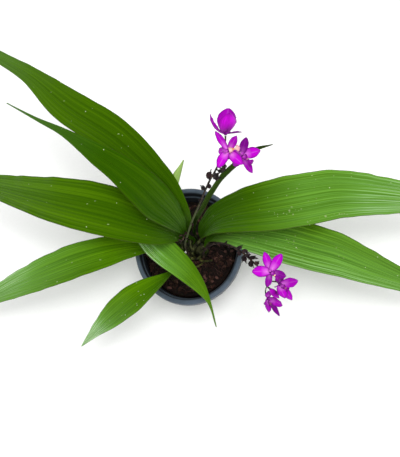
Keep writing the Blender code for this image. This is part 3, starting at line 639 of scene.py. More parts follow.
@dataclass
class Blade:
    """A thin blade that is shaped from a flat grid along rows of a route.

    The widest row lies level across the direction called up, and the rest follow it without twist.
    Across the grid, 0 is the blade's left edge and 1 its right edge, seen along it from above.
    """

    name: str
    rows: np.ndarray  # x, y, z and half width at each station
    folds: np.ndarray  # degrees that both sides are folded up at each station
    up: Vector
    faces_across: int
    thickness: float
    pleats: tuple[tuple[float, float], ...] = ()  # half waves on each side, depth as a share of half width
    groove: float = 0.0  # depth of the groove along the midrib
    groove_width: float = 0.05  # share of the half width
    groove_from: float = 8.0  # half width at which the groove has its full depth
    ruffle: float = 0.0  # how far the margins wander up and down
    ruffle_length: float = 30.0
    full_fold: float = 0.4  # share of the half width at which the fold is complete
    seed: int = 0
    grid: np.ndarray = field(init=False)  # points of the middle surface, by station and across

    def __post_init__(self) -> None:
        """Works out the points of the middle surface."""
        centres = [Vector(row[:3]) for row in self.rows]
        last = len(centres) - 1
        ahead = [(centres[min(i + 1, last)] - centres[max(i - 1, 0)]).normalized() for i in range(last + 1)]
        widest = int(np.argmax(self.rows[:, 3]))
        left = [Vector()] * (last + 1)
        left[widest] = Vector(self.up).cross(ahead[widest]).normalized()
        for i in range(widest + 1, last + 1):
            left[i] = ahead[i - 1].rotation_difference(ahead[i]) @ left[i - 1]
        for i in range(widest - 1, -1, -1):
            left[i] = ahead[i + 1].rotation_difference(ahead[i]) @ left[i + 1]
        raised = [a.cross(b).normalized() for a, b in zip(ahead, left)]
        side, lift = self.section()
        self.grid = (np.array(centres)[:, None, :] + side[:, :, None] * np.array(left)[:, None, :]
                     + lift[:, :, None] * np.array(raised)[:, None, :])

    def section(self) -> tuple[np.ndarray, np.ndarray]:
        """Returns how far left and how far up each point lies from its station's centre."""
        half = self.faces_across // 2
        width = self.rows[:, 3][:, None]
        share = np.linspace(0.0, 1.0, half + 1)
        middle = (share[1:] + share[:-1]) / 2.0
        lean = np.radians(np.asarray(self.folds, float))[:, None] * np.minimum(1.0, middle / self.full_fold)
        step = width / half
        zero = np.zeros((len(self.rows), 1))
        out = np.concatenate([zero, np.cumsum(step * np.cos(lean), axis=1)], axis=1)
        lift = np.concatenate([zero, np.cumsum(step * np.sin(lean), axis=1)], axis=1)
        for half_waves, depth in self.pleats:
            lift += depth * width * (0.5 - 0.5 * np.cos(math.pi * half_waves * share))
        groove = np.exp(-(share / self.groove_width) ** 2) * np.minimum(1.0, width / self.groove_from)
        lift -= self.groove * groove
        run = lengths(self.rows)
        draw = np.random.default_rng(self.seed)
        lifts = []
        for _ in range(2):
            first, second = draw.uniform(0.0, FULL_TURN, 2)
            sway = np.sin(run * 2.0 * math.pi / self.ruffle_length + first)
            sway += 0.6 * np.sin(run * 3.7 * math.pi / self.ruffle_length + second)
            narrow = np.minimum(1.0, self.rows[:, 3] / (0.6 * self.rows[:, 3].max()))
            lifts.append(lift + self.ruffle * (sway * narrow)[:, None] * share**3)
        return (np.concatenate([out[:, :0:-1], -out], axis=1),
                np.concatenate([lifts[0][:, :0:-1], lifts[1]], axis=1))

    def spot(self, along: float, across: float) -> tuple[Vector, Vector]:
        """Finds a place on the upper face.

        Args:
            along: share of the stations, from base to tip.
            across: share of the width, from the left edge to the right.

        Returns:
            The place in millimetres, and the way that the face looks there.
        """
        i = min(max(int(along * (len(self.grid) - 1)), 1), len(self.grid) - 2)
        j = min(max(int(across * self.faces_across), 1), self.faces_across - 1)
        rightwards = Vector(self.grid[i, j + 1] - self.grid[i, j - 1])
        ahead = Vector(self.grid[i + 1, j] - self.grid[i - 1, j])
        outward = rightwards.cross(ahead).normalized()
        return Vector(self.grid[i, j]) + outward * self.thickness / 2.0, outward

    def build(self, upper: Finish, under: Finish | None = None,
              film: np.ndarray | None = None) -> Piece:
        """Makes the blade's mesh.

        Args:
            upper: the finish of its upper face and edges.
            under: the finish of its lower face, where that differs.
            film: for each station, how strong the painted sheen is at the left edge and the right.

        Returns:
            The blade, with its thickness applied.
        """
        bpy.ops.mesh.primitive_grid_add(
            x_subdivisions=self.faces_across, y_subdivisions=len(self.rows) - 1, size=1.0)
        blade = bpy.context.object
        blade.name = self.name
        move_points(blade, self.grid.reshape(-1, 3) * MM)
        # Paints the share of painted sheen, a reflection of the bright room, at each point.
        if film is not None:
            across = np.linspace(0.0, 1.0, self.faces_across + 1)
            paint(blade, "film", (film[:, :1] * (1.0 - across) + film[:, 1:] * across).ravel())
        dress(blade, upper, under or upper)
        wall = blade.modifiers.new("thickness", "SOLIDIFY")
        wall.thickness, wall.offset = self.thickness * MM, 0.0
        wall.use_even_offset, wall.material_offset = True, 1
        apply_modifiers(blade)
        return blade


def tube(name: str, rows: Iterable[Row], finish: Finish, sides: int = 8) -> Piece:
    """Makes a round strand.

    Args:
        name: the object's name.
        rows: x, y, z and radius at each point along it.
        finish: what it is made of.
        sides: how many sides it has.

    Returns:
        The strand as a mesh, closed at both ends.
    """
    rows = list(rows)
    line = bpy.data.curves.new(name, "CURVE")
    line.dimensions, line.use_fill_caps = "3D", True
    line.bevel_depth, line.bevel_resolution = MM, (sides - 4) // 2
    spline = line.splines.new("POLY")
    spline.points.add(len(rows) - 1)
    for point, row in zip(spline.points, rows):
        point.co = (row[0] * MM, row[1] * MM, row[2] * MM, 1.0)
        point.radius = row[3]
    only(placed(name, line))
    bpy.ops.object.convert(target="MESH")
    strand = bpy.context.object
    dress(strand, finish)
    return strand


def rounded(name: str, centre: Vector, radii: Row, finish: Finish, turn: Quaternion | None = None,
            around: int = 24, rings: int = 16,
            shape: Callable[[np.ndarray], np.ndarray] | None = None) -> Piece:
    """Makes a rounded body from a sphere.

    Args:
        name: the object's name.
        centre: where its middle is.
        radii: its three radii before it is turned.
        finish: what it is made of.
        turn: how it is turned.
        around: faces round it.
        rings: faces from pole to pole.
        shape: a change to its points while they are still on a sphere of radius 1.

    Returns:
        The body.
    """
    bpy.ops.mesh.primitive_uv_sphere_add(segments=around, ring_count=rings, radius=1.0)
    body = bpy.context.object
    body.name = name
    points = points_of(body)
    points = (shape(points) if shape else points) * np.array(radii)
    if turn:
        points = points @ np.array(turn.to_matrix()).T
    move_points(body, (points + np.array(centre)) * MM)
    dress(body, finish)
    return body


def lathe(name: str, profile: Sequence[Row], steps: int, finish: Finish) -> Piece:
    """Spins a half section round the pot's axis into a closed body.

    Args:
        name: the object's name.
        profile: (radius, height) pairs, from the axis round to the axis.
        steps: faces round the axis.
        finish: what it is made of.

    Returns:
        The body.
    """
    mesh = bpy.data.meshes.new(name)
    ends = [(k, k + 1) for k in range(len(profile) - 1)]
    mesh.from_pydata([(radius * MM, 0.0, z * MM) for radius, z in profile], ends, [])
    body = placed(name, mesh)
    only(body)
    bpy.ops.object.mode_set(mode="EDIT")
    bpy.ops.mesh.select_all(action="SELECT")
    bpy.ops.mesh.spin(steps=steps, angle=FULL_TURN, center=(0, 0, 0), axis=(0, 0, 1))
    bpy.ops.mesh.select_all(action="SELECT")
    bpy.ops.mesh.remove_doubles(threshold=0.02 * MM)
    bpy.ops.mesh.normals_make_consistent(inside=False)
    bpy.ops.object.mode_set(mode="OBJECT")
    dress(body, finish)
    return body


def oval(piece: Piece) -> None:
    """Squeezes a piece with the soft pot: narrower in X and wider in Y, in step with its height.

    Args:
        piece: the piece, made round.
    """
    points = points_of(piece)
    squeeze = POT.oval * points[:, 2] / (POT.height * MM)
    points[:, 0] *= 1.0 - squeeze
    points[:, 1] *= 1.0 + squeeze
    move_points(piece, points)


def roughen(piece: Piece, depth: float, size: float) -> None:
    """Pushes a mesh's points in and out by a cloudy noise.

    Args:
        piece: the mesh.
        depth: the most that a point moves, in millimetres.
        size: how wide the lumps are, in millimetres.
    """
    for vertex in piece.data.vertices:
        vertex.co += vertex.normal * noise.fractal(vertex.co / (size * MM), *CLOUDS) * depth * MM
    piece.data.update()


# ---------------- pot, soil and crown


@dataclass(frozen=True)
class PotSizes:
    """The nursery pot's driving sizes."""

    height: float = 125.0
    rim_r: float = 72.0
    base_r: float = 47.0
    wall: float = 1.4
    floor: float = 1.6
    skirt: float = 13.0
    ledge: float = 11.0
    step_in: float = 9.2  # how far inside the rim the wall goes on under the ledge
    step_down: float = 1.2  # how far under the ledge it starts
    oval: float = 0.045
    steps: int = 128
    holes: int = 6
    hole_r: float = 4.5
    hole_ring_r: float = 32.0


POT = PotSizes()
SOIL_TOP = 105.0


def inner_radius(z: float) -> float:
    """Radius of the pot's inner wall at a height below the ledge."""
    low, high = POT.floor + 0.8, POT.height - POT.ledge - POT.step_down
    inside = POT.rim_r - POT.step_in
    return POT.base_r - POT.wall + (z - low) / (high - low) * (inside - POT.base_r + POT.wall)


@dataclass
class NurseryPot:
    """The thin-walled pot with its rolled rim, stacking ledge and drain holes."""

    sizes: PotSizes = POT

    def profile(self) -> list[tuple[float, float]]:
        """Returns the half section, up the outside and down the inside, with rounded corners."""
        s = self.sizes
        top, lip = s.height, s.rim_r
        shoulder, ledge = top - s.skirt, top - s.ledge
        outer = [(0.0, 0.0), (s.base_r - 2.4, 0.0), (s.base_r - 0.8, 0.35), (s.base_r, 1.4),
                 (lip - 8.9, shoulder - 14.0), (lip - 8.2, shoulder - 2.0)]
        under = [(lip - 5.2, top - 5.0), (lip - 3.6, top - 2.8), (lip - 1.8, top - 4.2)]
        skirt = [(lip - 1.5, shoulder + 0.3), (lip - 1.1, shoulder), (lip - 0.3, shoulder),
                 (lip - 0.1, shoulder + 0.4)]
        roll = [(lip - 2.6 + 2.6 * math.cos(a), top - 2.6 + 2.6 * math.sin(a))
                for a in np.radians((0, 18, 36, 54, 72, 90))]
        fall = [(lip - 4.4, top - 0.15), (lip - 5.4, top - 0.8), (lip - 6.2, top - 1.8),
                (lip - 6.7, top - 3.6)]
        inner = [(lip - 7.0, ledge + 0.8), (lip - 7.5, ledge), (lip - 8.8, ledge - 0.4),
                 (lip - s.step_in, ledge - s.step_down)]
        floor = [(s.base_r - s.wall, s.floor + 0.8), (s.base_r - s.wall - 1.2, s.floor), (0.0, s.floor)]
        return outer + under + skirt + roll + fall + inner + floor

    def build(self) -> None:
        """Makes the pot."""
        s = self.sizes
        pot = lathe("nursery_pot", self.profile(), s.steps, MouldedPolypropylene())
        oval(pot)
        drills = []
        for k in range(s.holes):
            x, y = polar(s.hole_ring_r, FULL_TURN * (k + 0.5) / s.holes)
            bpy.ops.mesh.primitive_cylinder_add(
                vertices=24, radius=s.hole_r * MM, depth=4.0 * s.floor * MM, location=(x * MM, y * MM, 0.0))
            drills.append(bpy.context.object)
        drill = joined("drill", drills)
        cut = pot.modifiers.new("holes", "BOOLEAN")
        cut.operation, cut.solver, cut.object = "DIFFERENCE", "EXACT", drill
        apply_modifiers(pot)
        bpy.data.objects.remove(drill)
        hand_over(pot, Slot.POT, "pot", angle=35.0)


@dataclass
class PottingMix:
    """The bark and coir in the pot: a rough bed, loose chips, coir fibres and one perlite grain."""

    chips: int = 640
    fibres: int = 150
    fibre_reach: float = 54.0  # how far from the pot's axis a fibre may start
    seed: int = 7
    relief: float = 1.5
    lump: float = 7.0  # how wide the bed's lumps are
    pellet: Row = (-4.2, -7.1, 118.2, 1.6)  # x, y, z and radius
    bed_tint: float = -0.25  # painted shade: how much darker the bed is than the chips on it, for the hollows between them

    def height(self, x: float, y: float) -> float:
        """Returns the bed's height at a place, in millimetres."""
        lumps = noise.fractal(Vector((x, y, 3.0)) / self.lump, *CLOUDS)
        return SOIL_TOP + self.relief * lumps * 0.8

    def bed(self) -> Piece:
        """Makes the rough bed that fills the pot.

        Returns:
            The bed.
        """
        foot, clear = POT.floor + GAP, 2.0 * GAP
        edge = inner_radius(SOIL_TOP - 2.0) - clear
        profile = [(0.0, foot), (POT.base_r - POT.wall - 2.0, foot),
                   (inner_radius(foot + 2.0) - clear, foot + 2.0), (edge, SOIL_TOP - 2.0)]
        profile += [(radius, SOIL_TOP) for radius in np.linspace(edge - 1.6, 1.5, 36)] + [(0.0, SOIL_TOP)]
        bed = lathe("bed", profile, 140, ChippedBark())
        oval(bed)
        for vertex in bed.data.vertices:
            if vertex.co.z > (SOIL_TOP - 1.0) * MM:
                vertex.co.z = self.height(vertex.co.x / MM, vertex.co.y / MM) * MM
        # Painted shade: the bed is darker than the chips on it.
        paint(bed, "tint", self.bed_tint)
        return bed

    def chip(self, number: int) -> Piece:
        """Makes one pattern of broken chip, about 1 mm across, to be copied.

        Args:
            number: the pattern's number, which sets its shape.

        Returns:
            The chip.
        """
        bpy.ops.mesh.primitive_cube_add(size=1.0 * MM)
        chip = bpy.context.object
        chip.name = f"chip_{number}"
        bevel = chip.modifiers.new("broken_corners", "BEVEL")
        bevel.width, bevel.segments, bevel.affect = 0.24 * MM, 1, "EDGES"
        apply_modifiers(chip)
        draw = np.random.default_rng(self.seed + number)
        points = points_of(chip)
        move_points(chip, points + draw.uniform(-0.11, 0.11, points.shape) * MM)
        dress(chip, ChippedBark())
        return chip

    def scatter(self) -> list[Piece]:
        """Strews copies of the chip patterns over the bed.

        Returns:
            The copies.
        """
        patterns = [self.chip(k) for k in range(5)]
        draw = np.random.default_rng(self.seed)
        made = []
        for k in range(self.chips):
            size = Vector((draw.uniform(2.6, 6.6), draw.uniform(1.9, 4.2), draw.uniform(1.2, 2.8)))
            size *= 1.3 if draw.uniform() < 0.1 else 1.0
            edge = inner_radius(SOIL_TOP) - 0.55 * size.x - 0.8
            x, y = strewn(draw, edge)
            turn = Matrix.Rotation(draw.uniform(0, 6.28), 4, "Z") @ Matrix.Rotation(
                draw.uniform(-0.7, 0.7), 4, "X") @ Matrix.Rotation(draw.uniform(-0.5, 0.5), 4, "Y")
            place = Matrix.Translation(Vector((x, y, self.height(x, y) + draw.uniform(-0.3, 0.7))) * MM)
            copy = patterns[k % len(patterns)].copy()
            copy.data = copy.data.copy()
            copy.data.transform(place @ turn @ Matrix.Diagonal((*size, 1.0)))
            bpy.context.scene.collection.objects.link(copy)
            paint(copy, "tint", float(draw.uniform(-0.18, 0.36) if draw.uniform() < 0.88 else 0.5))
            made.append(copy)
        for pattern in patterns:
            bpy.data.objects.remove(pattern)
        return made

    def strands(self) -> list[Piece]:
        """Lays loose coir fibres over the bed.

        Returns:
            The fibres.
        """
        draw = np.random.default_rng(self.seed + 100)
        made = []
        for k in range(self.fibres):
            x, y = strewn(draw, self.fibre_reach)
            heading, length = draw.uniform(0.0, FULL_TURN), draw.uniform(4.0, 11.0)
            rows = []
            for step in range(5):
                rows.append((x, y, self.height(x, y) + 1.3 + draw.uniform(-0.8, 0.8), 0.13))
                ahead = polar(length / 4, heading)
                x, y = x + ahead[0], y + ahead[1]
                heading += draw.uniform(-0.6, 0.6)
            if max(math.hypot(*row[:2]) for row in rows) < self.fibre_reach + 3.0:
                strand = tube(f"coir_{k}", rows, ChippedBark(), 4)
                paint(strand, "tint", float(draw.uniform(0.35, 0.75)))
                made.append(strand)
        return made

    def build(self) -> None:
        """Makes the potting mix."""
        *centre, radius = self.pellet
        grain = rounded("perlite", Vector(centre), (radius,) * 3, PERLITE, None, 14, 9)
        roughen(grain, 0.35, 1.4)
        mix = joined("bark_mix", [self.bed(), *self.scatter(), *self.strands(), grain])
        hand_over(mix, Slot.MIX, "soil", angle=40.0)


@dataclass(frozen=True)
class Bulb:
    """A pseudobulb: a swollen stem base, by its middle and its three radii."""

    centre: Row
    radii: Row

    def seat(self, azimuth: float, ring: float) -> tuple[Vector, Vector]:
        """Finds where a leaf or stalk leaves the bulb.

        Args:
            azimuth: degrees from +X.
            ring: distance from the bulb's axis, in millimetres.

        Returns:
            A point just off its skin, and the way that the skin faces there.
        """
        offset = Vector((*polar(ring, math.radians(azimuth)), 0.0))
        offset.z = self.radii[2] * math.sqrt(
            1.0 - (offset.x / self.radii[0]) ** 2 - (offset.y / self.radii[1]) ** 2)
        outward = Vector(offset[i] / self.radii[i] ** 2 for i in range(3)).normalized()
        return Vector(self.centre) + offset + outward * GAP, outward


BULBS = {
    "main": Bulb((-3, 0, 106), (12, 12, 13)),
    "right": Bulb((15, -3, 105), (10, 10, 12)),
    "left": Bulb((-34, 11, 104), (9, 9, 11)),
    "front": Bulb((-11, -18, 103), (6.5, 6.5, 8)),
}
CORE_R = 2.3  # radius of a bloom's core, to which its stem runs
SEAT_RUN = 8.0  # a leaf or stalk leaves its bulb straight for this far


def rooted(bulb: str, azimuth: float, ring: float, route: Sequence[Row], *tail: float) -> list[Row]:
    """Starts a route at its seat on a bulb.

    Args:
        bulb: the bulb's name.
        azimuth: the seat's direction from the bulb's axis, in degrees.
        ring: its distance from that axis.
        route: the rows that follow.
        tail: what a row holds after x, y and z.

    Returns:
        The whole route.
    """
    seat, outward = BULBS[bulb].seat(azimuth, ring)
    return [(*seat, *tail), (*(seat + outward * SEAT_RUN), *tail), *route]


@dataclass
class Crown:
    """The pseudobulbs, with ringed skins, dry scales, roots and the stubs of old stalks."""

    strands: tuple = (
        (2.2, ((-3, 0, 101), (5, -3, 99), (15, -3, 101))),
        (2.2, ((-34, 11, 99), (-19, 7, 98), (-3, 0, 99))),
        (2.0, ((-11, -18, 99), (-8, -10, 98), (-3, 0, 99))),
        (1.5, ((4, -6, 104), (6.5, -14, 113), (5, -17.5, 127))),
        (1.4, ((14, -11, 104), (14, -17, 114), (21, -20, 121), (30, -19.5, 123))),
        (1.1, ((-7, -8, 102), (0, -22, 107.5), (9, -24, 108), (16, -19, 106), (17, -10, 102))),
        (1.0, ((-13, 2, 103), (-19, -5, 108), (-24, -10, 107), (-28, -14, 102))),
        (0.9, ((22, 2, 102), (29, 6, 107.5), (36, 7, 107), (41, 10, 102))),
    )
    scales: dict = field(default_factory=lambda: {
        "main": (62, 134, 262), "right": (67, 245), "left": (145, 300), "front": (165, 330)})
    # Bases of old stems and sheaths that lean on the bulbs, and dry twigs caught among the leaves.
    old_stems: tuple = (
        (1.1, ((-5.1, 6.2, 132), (-8, 3.1, 126), (-8.2, -3.5, 121), (-10.7, -8.5, 112))),
        (1.2, ((3.6, 3.8, 134), (3.5, -2, 127), (4.4, -8.1, 119), (4.6, -10.6, 110))),
        (2.0, ((17.9, 5, 134), (15.7, 4.3, 130), (9.8, -0.2, 126), (5.2, -5.2, 121), (2.2, -9.6, 111))),
        (1.4, ((24.8, 3.4, 112), (23.5, 0, 121), (18.3, -2, 123), (15, -5.5, 119), (14.1, -9.2, 110))),
        (1.4, ((-4.9, -8.6, 111), (-2.9, -10.6, 115), (3, -13.8, 116), (7, -15.6, 116), (11.8, -14.5, 115),
               (13.7, -11.3, 113), (12.5, -8.3, 109))),
        (0.8, ((-4.1, 4, 130), (-2.4, -0.5, 124), (-3, -3.9, 119))),
    )
    twigs: tuple = (
        (0.9, ((8.5, 0, 190), (5, -2.6, 193), (4.2, -7.3, 196), (2, -10.8, 197), (-1.3, -9.4, 199))),
        (0.6, ((4.7, -5.2, 195), (7.2, -7.8, 194), (9, -6, 190))),
        (0.7, ((2, -10.8, 197), (0.6, -14.1, 197))),
        (0.6, ((4.4, -4.5, 194), (1.0, -4.0, 196), (-0.5, -6.0, 197))),
    )
    seed: int = 21

    def bulb(self, name: str) -> Piece:
        """Makes one bulb, ringed where its old leaves sat and drawn in at the top.

        Args:
            name: the bulb's name.

        Returns:
            The bulb.
        """
        size = BULBS[name]

        def ringed(points: np.ndarray) -> np.ndarray:
            """Draws a ball in at its leaf scars and flutes it round its middle."""
            height = points[:, 2]
            turn = np.arctan2(points[:, 1], points[:, 0])
            scars = sum(np.exp(-((height - at) / 0.035) ** 2) for at in (-0.1, 0.25, 0.55, 0.78))
            swell = 1.0 - 0.035 * scars + 0.012 * np.sin(turn * 9.0) * (1.0 - height**2)
            return points * np.column_stack([swell, swell, np.ones_like(swell)])

        body = rounded("bulb_" + name, Vector(size.centre), size.radii, HUSK, None, 56, 40, ringed)
        roughen(body, 0.35, 4.0)
        return body

    def scale(self, name: str, azimuth: float, number: int) -> Piece:
        """Makes one dry scale that hugs the side of a bulb.

        Args:
            name: the bulb's name.
            azimuth: the side that it is on, in degrees from +X.
            number: its own number, for its ruffle.

        Returns:
            The scale.
        """
        centre, radii = Vector(BULBS[name].centre), BULBS[name].radii
        out = Vector((*polar(1.0, math.radians(azimuth)), 0.0))
        low, high = SOIL_TOP + 1.2, centre.z + 0.72 * radii[2]
        route = []
        for share, proud, wide in ((0.0, -0.9, 0.34), (0.35, 0.6, 0.44), (0.7, 1.2, 0.30), (1.0, 2.2, 0.02)):
            z = low + share * (high - low)
            reach = radii[0] * math.sqrt(1.0 - ((z - centre.z) / radii[2]) ** 2) + proud
            route.append((*(centre + out * reach)[:2], z, radii[0] * wide))
        rows, _ = flow(route, 18)
        blade = Blade("scale", rows, np.full(18, -26.0), -out, 12, 0.5, ruffle=0.5, ruffle_length=4.0,
                      full_fold=1.0, seed=number)
        return blade.build(DRY_SCALE)

    def root(self, radius: float, route: Sequence[Row], number: int, finish: Finish) -> Piece:
        """Makes one root, stub or twig, knobbly along its length.

        Args:
            radius: its half thickness.
            route: the x, y and z of the places it passes.
            number: its own number, for its knobs.
            finish: what it is made of.

        Returns:
            The strand.
        """
        rows, run = flow([(*point, radius) for point in route], 26)
        draw = np.random.default_rng(self.seed + number)
        phase = draw.uniform(0.0, 6.28)
        rows[:, 3] *= 1.0 + 0.10 * np.sin(run * 1.1 + phase) + 0.06 * draw.uniform(-1.0, 1.0, len(rows))
        root = tube(f"root_{number}", rows, finish, 12)
        roughen(root, 0.25, 2.0)
        return root

    def build(self) -> None:
        """Makes the crown."""
        pieces = [self.bulb(name) for name in BULBS]
        pieces += [self.scale(name, azimuth, k) for name, turns in self.scales.items()
                   for k, azimuth in enumerate(turns)]
        for first, finish, strands in ((0, ROOT, self.strands), (20, OLD_STEM, self.old_stems),
                                       (40, DRY_STALK, self.twigs)):
            pieces += [self.root(*strand, first + k, finish) for k, strand in enumerate(strands)]
        hand_over(joined("bulbs_and_roots", pieces), Slot.HUSK, "pseudobulbs")


# ---------------- leaves


@dataclass(frozen=True)
class LeafPlan:
    """One leaf: its seat, its fold, its route, and where the painted sheen lies on it.

    The route's rows are x, y, z and half width, from above the bulb to the tip. The rows of the painted
    sheen, which stands for the bright room reflected on the leaf, are a share of the length, and how strong
    the sheen is there on the leaf's left and right.
    """

    node: str
    bulb: str
    azimuth: float
    ring: float
    fold: float
    half_waves: int
    route: tuple[Row, ...]
    film: tuple[Row, ...]
    faces_across: int = 64
    stations: int = 150
    shade_until: float = 0.45  # share of the length at which the painted shade at the base has faded
    shade_sides: tuple[float, float] = (0.85, 0.85)  # how dark the painted shade at the base is at the left and right edge
    green: str = LeafSkin.green
    shade: float = 1.0  # painted light and shade, partly the leaf's own tone: how bright the leaf is beside the others
    vein_share: float = LeafSkin.vein_share


LEAVES = (
    LeafPlan("leaf_back_left", "main", 95, 6.0, 16, 5, (
        (1, 10, 150, 4), (7, 11, 180, 5), (9, 13, 203, 6), (5, 23, 224, 8.5), (-7, 42, 243, 12.5),
        (-24, 58, 257, 17), (-60, 91, 271, 21.5), (-120, 134, 271, 20.5), (-171, 181, 257, 11.3),
        (-219, 218, 235, 7.8), (-287, 275, 198, 4), (-364.5, 335.4, 150.3, 0.5)),
        ((0, 0, 0), (0.5, 0, 0), (0.57, 0.05, 0.04), (0.67, 0.25, 0.3), (1, 0.4, 0.5)),
        64, 150, 0.62, (1.0, 0.3), shade=0.78),
    LeafPlan("leaf_upper_left", "main", 30, 6.0, 14, 5, (
        (3, 5, 160, 3.6), (3.5, 2.5, 196, 4.8), (1, 5, 221, 10.5), (-6, 11, 243, 16), (-15, 17, 263, 20),
        (-30, 30, 288, 20), (-51, 46, 304, 15.6), (-73, 60, 313, 11.6), (-86, 69, 315, 8.7),
        (-110, 86, 313, 4.7), (-141, 105, 303, 2.3), (-191, 140, 275, 0.5)),
        ((0, 0, 0), (0.6, 0, 0), (0.73, 0.1, 0.12), (1, 0.4, 0.4)),
        48, 120, 1.4, (0.55, 0.45), "316102", 0.74),
    LeafPlan("leaf_left", "main", 172, 6.0, 14, 6, (
        (-6, 1, 150, 4), (-4, -1, 176, 5), (-7, -2, 197, 10), (-20, -1, 221, 20), (-45, 4, 241, 26.5),
        (-72, 12, 249, 30), (-101, 20, 249, 30), (-135, 30, 242, 27.5), (-176, 44, 226, 22),
        (-221, 61, 203, 16), (-285, 85, 163, 8), (-356, 106, 120, 0.5)),
        ((0, 0, 0), (0.47, 0, 0), (0.56, 0.02, 0.08), (0.67, 0.06, 0.14), (1, 0.4, 0.4)),
        72, 150, 0.55, (0.35, 1.0), shade=0.82),
    LeafPlan("leaf_lower_left", "main", 228, 6.0, 16, 5, (
        (-16, -6, 136, 4.5), (-27, -5, 150, 6.5), (-47, -9, 166, 10.5), (-69, -14, 179, 15),
        (-91, -20, 186, 19), (-123, -28, 184, 21.5), (-159, -37, 172, 21), (-200, -46, 150, 18),
        (-245, -55, 120, 13), (-297, -66, 84, 7), (-350, -75, 48, 0.5)),
        ((0, 0, 0), (0.27, 0, 0.02), (0.35, 0.05, 0.18), (0.45, 0.24, 0.42),
         (0.56, 0.48, 0.72), (1, 0.8, 0.9)),
        60, 140, 0.2, (0.8, 0.8), shade=1.02),
    LeafPlan("leaf_front", "left", 200, 5.0, 18, 4, (
        (-41, 13, 140, 3.6), (-42, 12, 162, 6), (-41, 1, 180, 15), (-33, -8, 185, 17),
        (-18.5, -22.5, 187, 17), (-1.5, -37.5, 184, 14.5), (10, -49, 172, 11.2), (20, -61, 157, 7),
        (26, -71, 145, 3.5), (33, -101, 106, 0.5)),
        ((0, 0, 0), (0.26, 0, 0.6), (0.35, 0.05, 0.9), (0.44, 0.12, 0.85), (0.54, 0.05, 0.5),
         (0.63, 0, 0.12), (1, 0, 0)),
        48, 110, 0.35, (0.9, 0.1), shade=1.02),
    LeafPlan("leaf_low_front", "front", 250, 3.5, 20, 4, (
        (-15, -29, 127, 2.6), (-23, -41, 143, 4.2), (-39, -56, 158, 11.5), (-59, -70, 159, 17),
        (-88, -88, 144, 15.5), (-117, -104, 116, 8), (-144.6, -120.4, 84.6, 0.5)),
        ((0, 0, 0), (0.42, 0.06, 0.0), (0.59, 0.36, 0.16), (0.79, 1.0, 0.85), (1, 1, 1)),
        44, 100, 0.36, (0.4, 0.6)),
    LeafPlan("leaf_young_back", "left", 90, 5.0, 24, 3, (
        (-33, 19, 135, 2.8), (-30, 23, 166, 5), (-20, 36, 187, 7.5), (-10, 53, 197, 7),
        (-3, 68, 201, 4.8), (5, 87, 203, 0.5)),
        ((0, 0, 0), (0.6, 0.1, 0.1), (1, 0.3, 0.3)),
        28, 80, 0.8, (1, 1), shade=0.78),
    LeafPlan("leaf_furled", "right", 105, 5.5, 46, 2, (
        (12, 13, 148, 3.0), (16, 17, 172, 3.4), (21, 18, 195, 3.6), (30, 23, 215, 3.8), (41, 35, 232, 3.9),
        (55, 49, 246, 3.9), (73, 63, 254, 3.7), (87, 74, 256, 3), (113, 85, 250, 0.5)),
        ((0, 0, 0), (0.5, 0.15, 0.15), (0.7, 0.35, 0.35), (1, 0, 0)),
        28, 110, 0.62, (0.9, 0.9), "3F5226", 0.40),
    LeafPlan("leaf_upper_right", "right", 30, 5.5, 15, 6, (
        (21, 4, 143, 5), (28, 9, 170, 12.5), (42, 14, 190, 18), (62, 17, 206, 23), (90, 18, 221, 28),
        (122, 20, 230, 31), (153, 25, 229, 31), (183, 31, 221, 29.5), (214, 34, 206, 26.5),
        (257, 37, 180, 21), (295, 39, 152, 16), (347, 41, 112, 8.5), (400.8, 42, 66.2, 0.5)),
        ((0, 0, 0), (0.28, 0, 0.05), (0.34, 0.16, 0.22), (0.4, 0.42, 0.42), (0.47, 0.4, 0.48),
         (0.54, 0.55, 0.72), (1, 0.9, 0.9)),
        72, 160, 0.5, (0.8, 0.6)),
    LeafPlan("leaf_lower_right", "right", 330, 5.5, 15, 6, (
        (25, -3, 134, 4.4), (35, 4, 148, 10), (56, 4, 165, 16), (86, -2, 178, 22.5),
        (120, -11, 184, 27.5), (151, -20, 182, 28), (182, -28, 173, 26), (214, -38, 156, 21.5),
        (258, -50, 126, 14.5), (305, -62, 92, 8), (362, -76, 50, 0.5)),
        ((0, 0, 0), (0.13, 0, 0.15), (0.2, 0.1, 0.6), (0.32, 0.22, 0.65), (0.39, 0.03, 0.65),
         (0.47, 0.2, 0.65), (1, 0.4, 0.65)),
        72, 150, 0.24, (0.7, 0.5), "2F5105", 1.08, 0.6),
)

YOUNG_NODE = "leaf_young_back"  # the one leaf with a paler skin and a material slot of its own


